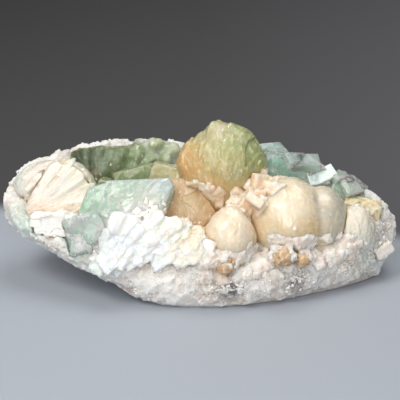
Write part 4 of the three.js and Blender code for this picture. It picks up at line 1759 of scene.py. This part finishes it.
@dataclass
class Studio:
    """Floor, lights, room and camera. Sizes are in millimetres."""

    elevation: float = 20.0
    distance: float = 620.0
    target: Triple = (-0.5, 0.0, 39.0)
    lens: float = 109.4
    sensor: float = 36.0
    nearest: float = 10.0
    floor_radius: float = 3000.0
    room_light: float = 0.48
    room_low: Colour = rgb(120, 120, 120)
    room_high: Colour = rgb(236, 236, 234)
    floor_pale: tuple[Colour, Colour] = (rgb(164, 170, 179), rgb(174, 180, 189))
    # painted shade: the far floor's colours, darkest to the left
    floor_shade: tuple[Colour, ...] = (rgb(60, 58, 58), rgb(80, 80, 82), rgb(112, 113, 118))

    def build(self) -> None:
        """Sets the floor, the lights, the room and the camera."""
        self.floor()
        self.soft_light("key", (-420, -420, 860), 340, 4.0, (1.0, 0.985, 0.96))
        self.soft_light("top", (150, 150, 1000), 600, 3.7, (1.0, 0.995, 0.985))
        self.soft_light("fill", (-120, -900, 420), 600, 4.7, (1.0, 0.985, 0.96))
        self.room()
        self.camera()

    def room(self) -> None:
        """An even surrounding light, brighter above than below."""
        world = bpy.data.worlds.new("room")
        world.use_nodes = True
        tree = world.node_tree
        up = tree.nodes.new("ShaderNodeSeparateXYZ")
        tree.links.new(tree.nodes.new("ShaderNodeTexCoord").outputs["Generated"], up.inputs[0])
        sky = tree.nodes.new("ShaderNodeValToRGB")
        sky.color_ramp.elements[0].color = self.room_low
        sky.color_ramp.elements[1].color = self.room_high
        tree.links.new(up.outputs["Z"], sky.inputs[0])
        tree.links.new(sky.outputs[0], tree.nodes["Background"].inputs["Color"])
        tree.nodes["Background"].inputs["Strength"].default_value = self.room_light
        bpy.context.scene.world = world
        bpy.context.scene.view_settings.view_transform = "Standard"

    def floor(self) -> None:
        """A wide floor, pale under the specimen, with painted shade far behind it, darkest to the left."""
        mesh = bpy.data.meshes.new("floor")
        half = self.floor_radius * MM
        corners = [(-half, -half, 0), (half, -half, 0), (half, half, 0), (-half, half, 0)]
        mesh.from_pydata(corners, [], [(0, 1, 2, 3)])
        made = in_scene("floor", mesh)
        graph = Graph("floor_cloth")
        shade = graph.span(graph.along((0.0, 69.0, 0.0), (0.212, 1.0, 0.0), 24.0), 0.0, 1.0)
        grain = graph.noise(0.8, detail=2.0)
        pale = graph.blend(grain, *self.floor_pale)
        # painted shade far behind the specimen, darkest to the left
        far_shade = graph.ramp(graph.along((0.0, 400.0, 0.0), (1.0, 0.0, 0.0), 900.0), self.floor_shade)
        rough = graph.span(grain, 0.3, 0.7, low=0.6, high=0.75)
        graph.set(Base_Color=graph.blend(shade, pale, far_shade), Roughness=rough, Specular_IOR_Level=0.2)
        mesh.materials.append(graph.material)

    def soft_light(self, name: str, at: Triple, size: float, power: float, colour: Triple) -> None:
        """A square light that faces the specimen.

        Args:
            name: the light's name.
            at: its middle, in millimetres.
            size: its side, in millimetres.
            power: its power in watts.
            colour: its colour.
        """
        data = bpy.data.lights.new(name, "AREA")
        data.shape = "SQUARE"
        data.size = size * MM
        data.energy = power
        data.color = colour
        lamp = in_scene(name, data)
        lamp.location = Vector(at) * MM
        aim = Vector(self.target) * MM - lamp.location
        lamp.rotation_euler = aim.to_track_quat("-Z", "Y").to_euler()

    def camera(self) -> None:
        """The camera, in front of the specimen and a little above it."""
        data = bpy.data.cameras.new("camera")
        data.lens = self.lens
        data.sensor_width = self.sensor
        data.clip_start = self.nearest * MM
        seen = in_scene("camera", data)
        slope = math.radians(self.elevation)
        back = Vector((0.0, -math.cos(slope), math.sin(slope)))
        seen.location = (Vector(self.target) + back * self.distance) * MM
        seen.rotation_euler = (-back).to_track_quat("-Z", "Y").to_euler()
        bpy.context.scene.camera = seen


def main() -> None:
    """Builds the specimen and its studio."""
    logging.basicConfig(level=logging.INFO, format="%(message)s")
    Studio().build()
    surfaces = [Ground().build()]
    surfaces += StilbiteGroup().build()
    surfaces += LeftGroup().build()
    surfaces += FrontSheaves().build()
    ClearCrystals().build()
    Hollow().build()
    Clusters().build(Shape.joined(surfaces))


if __name__ == "__main__":
    main()
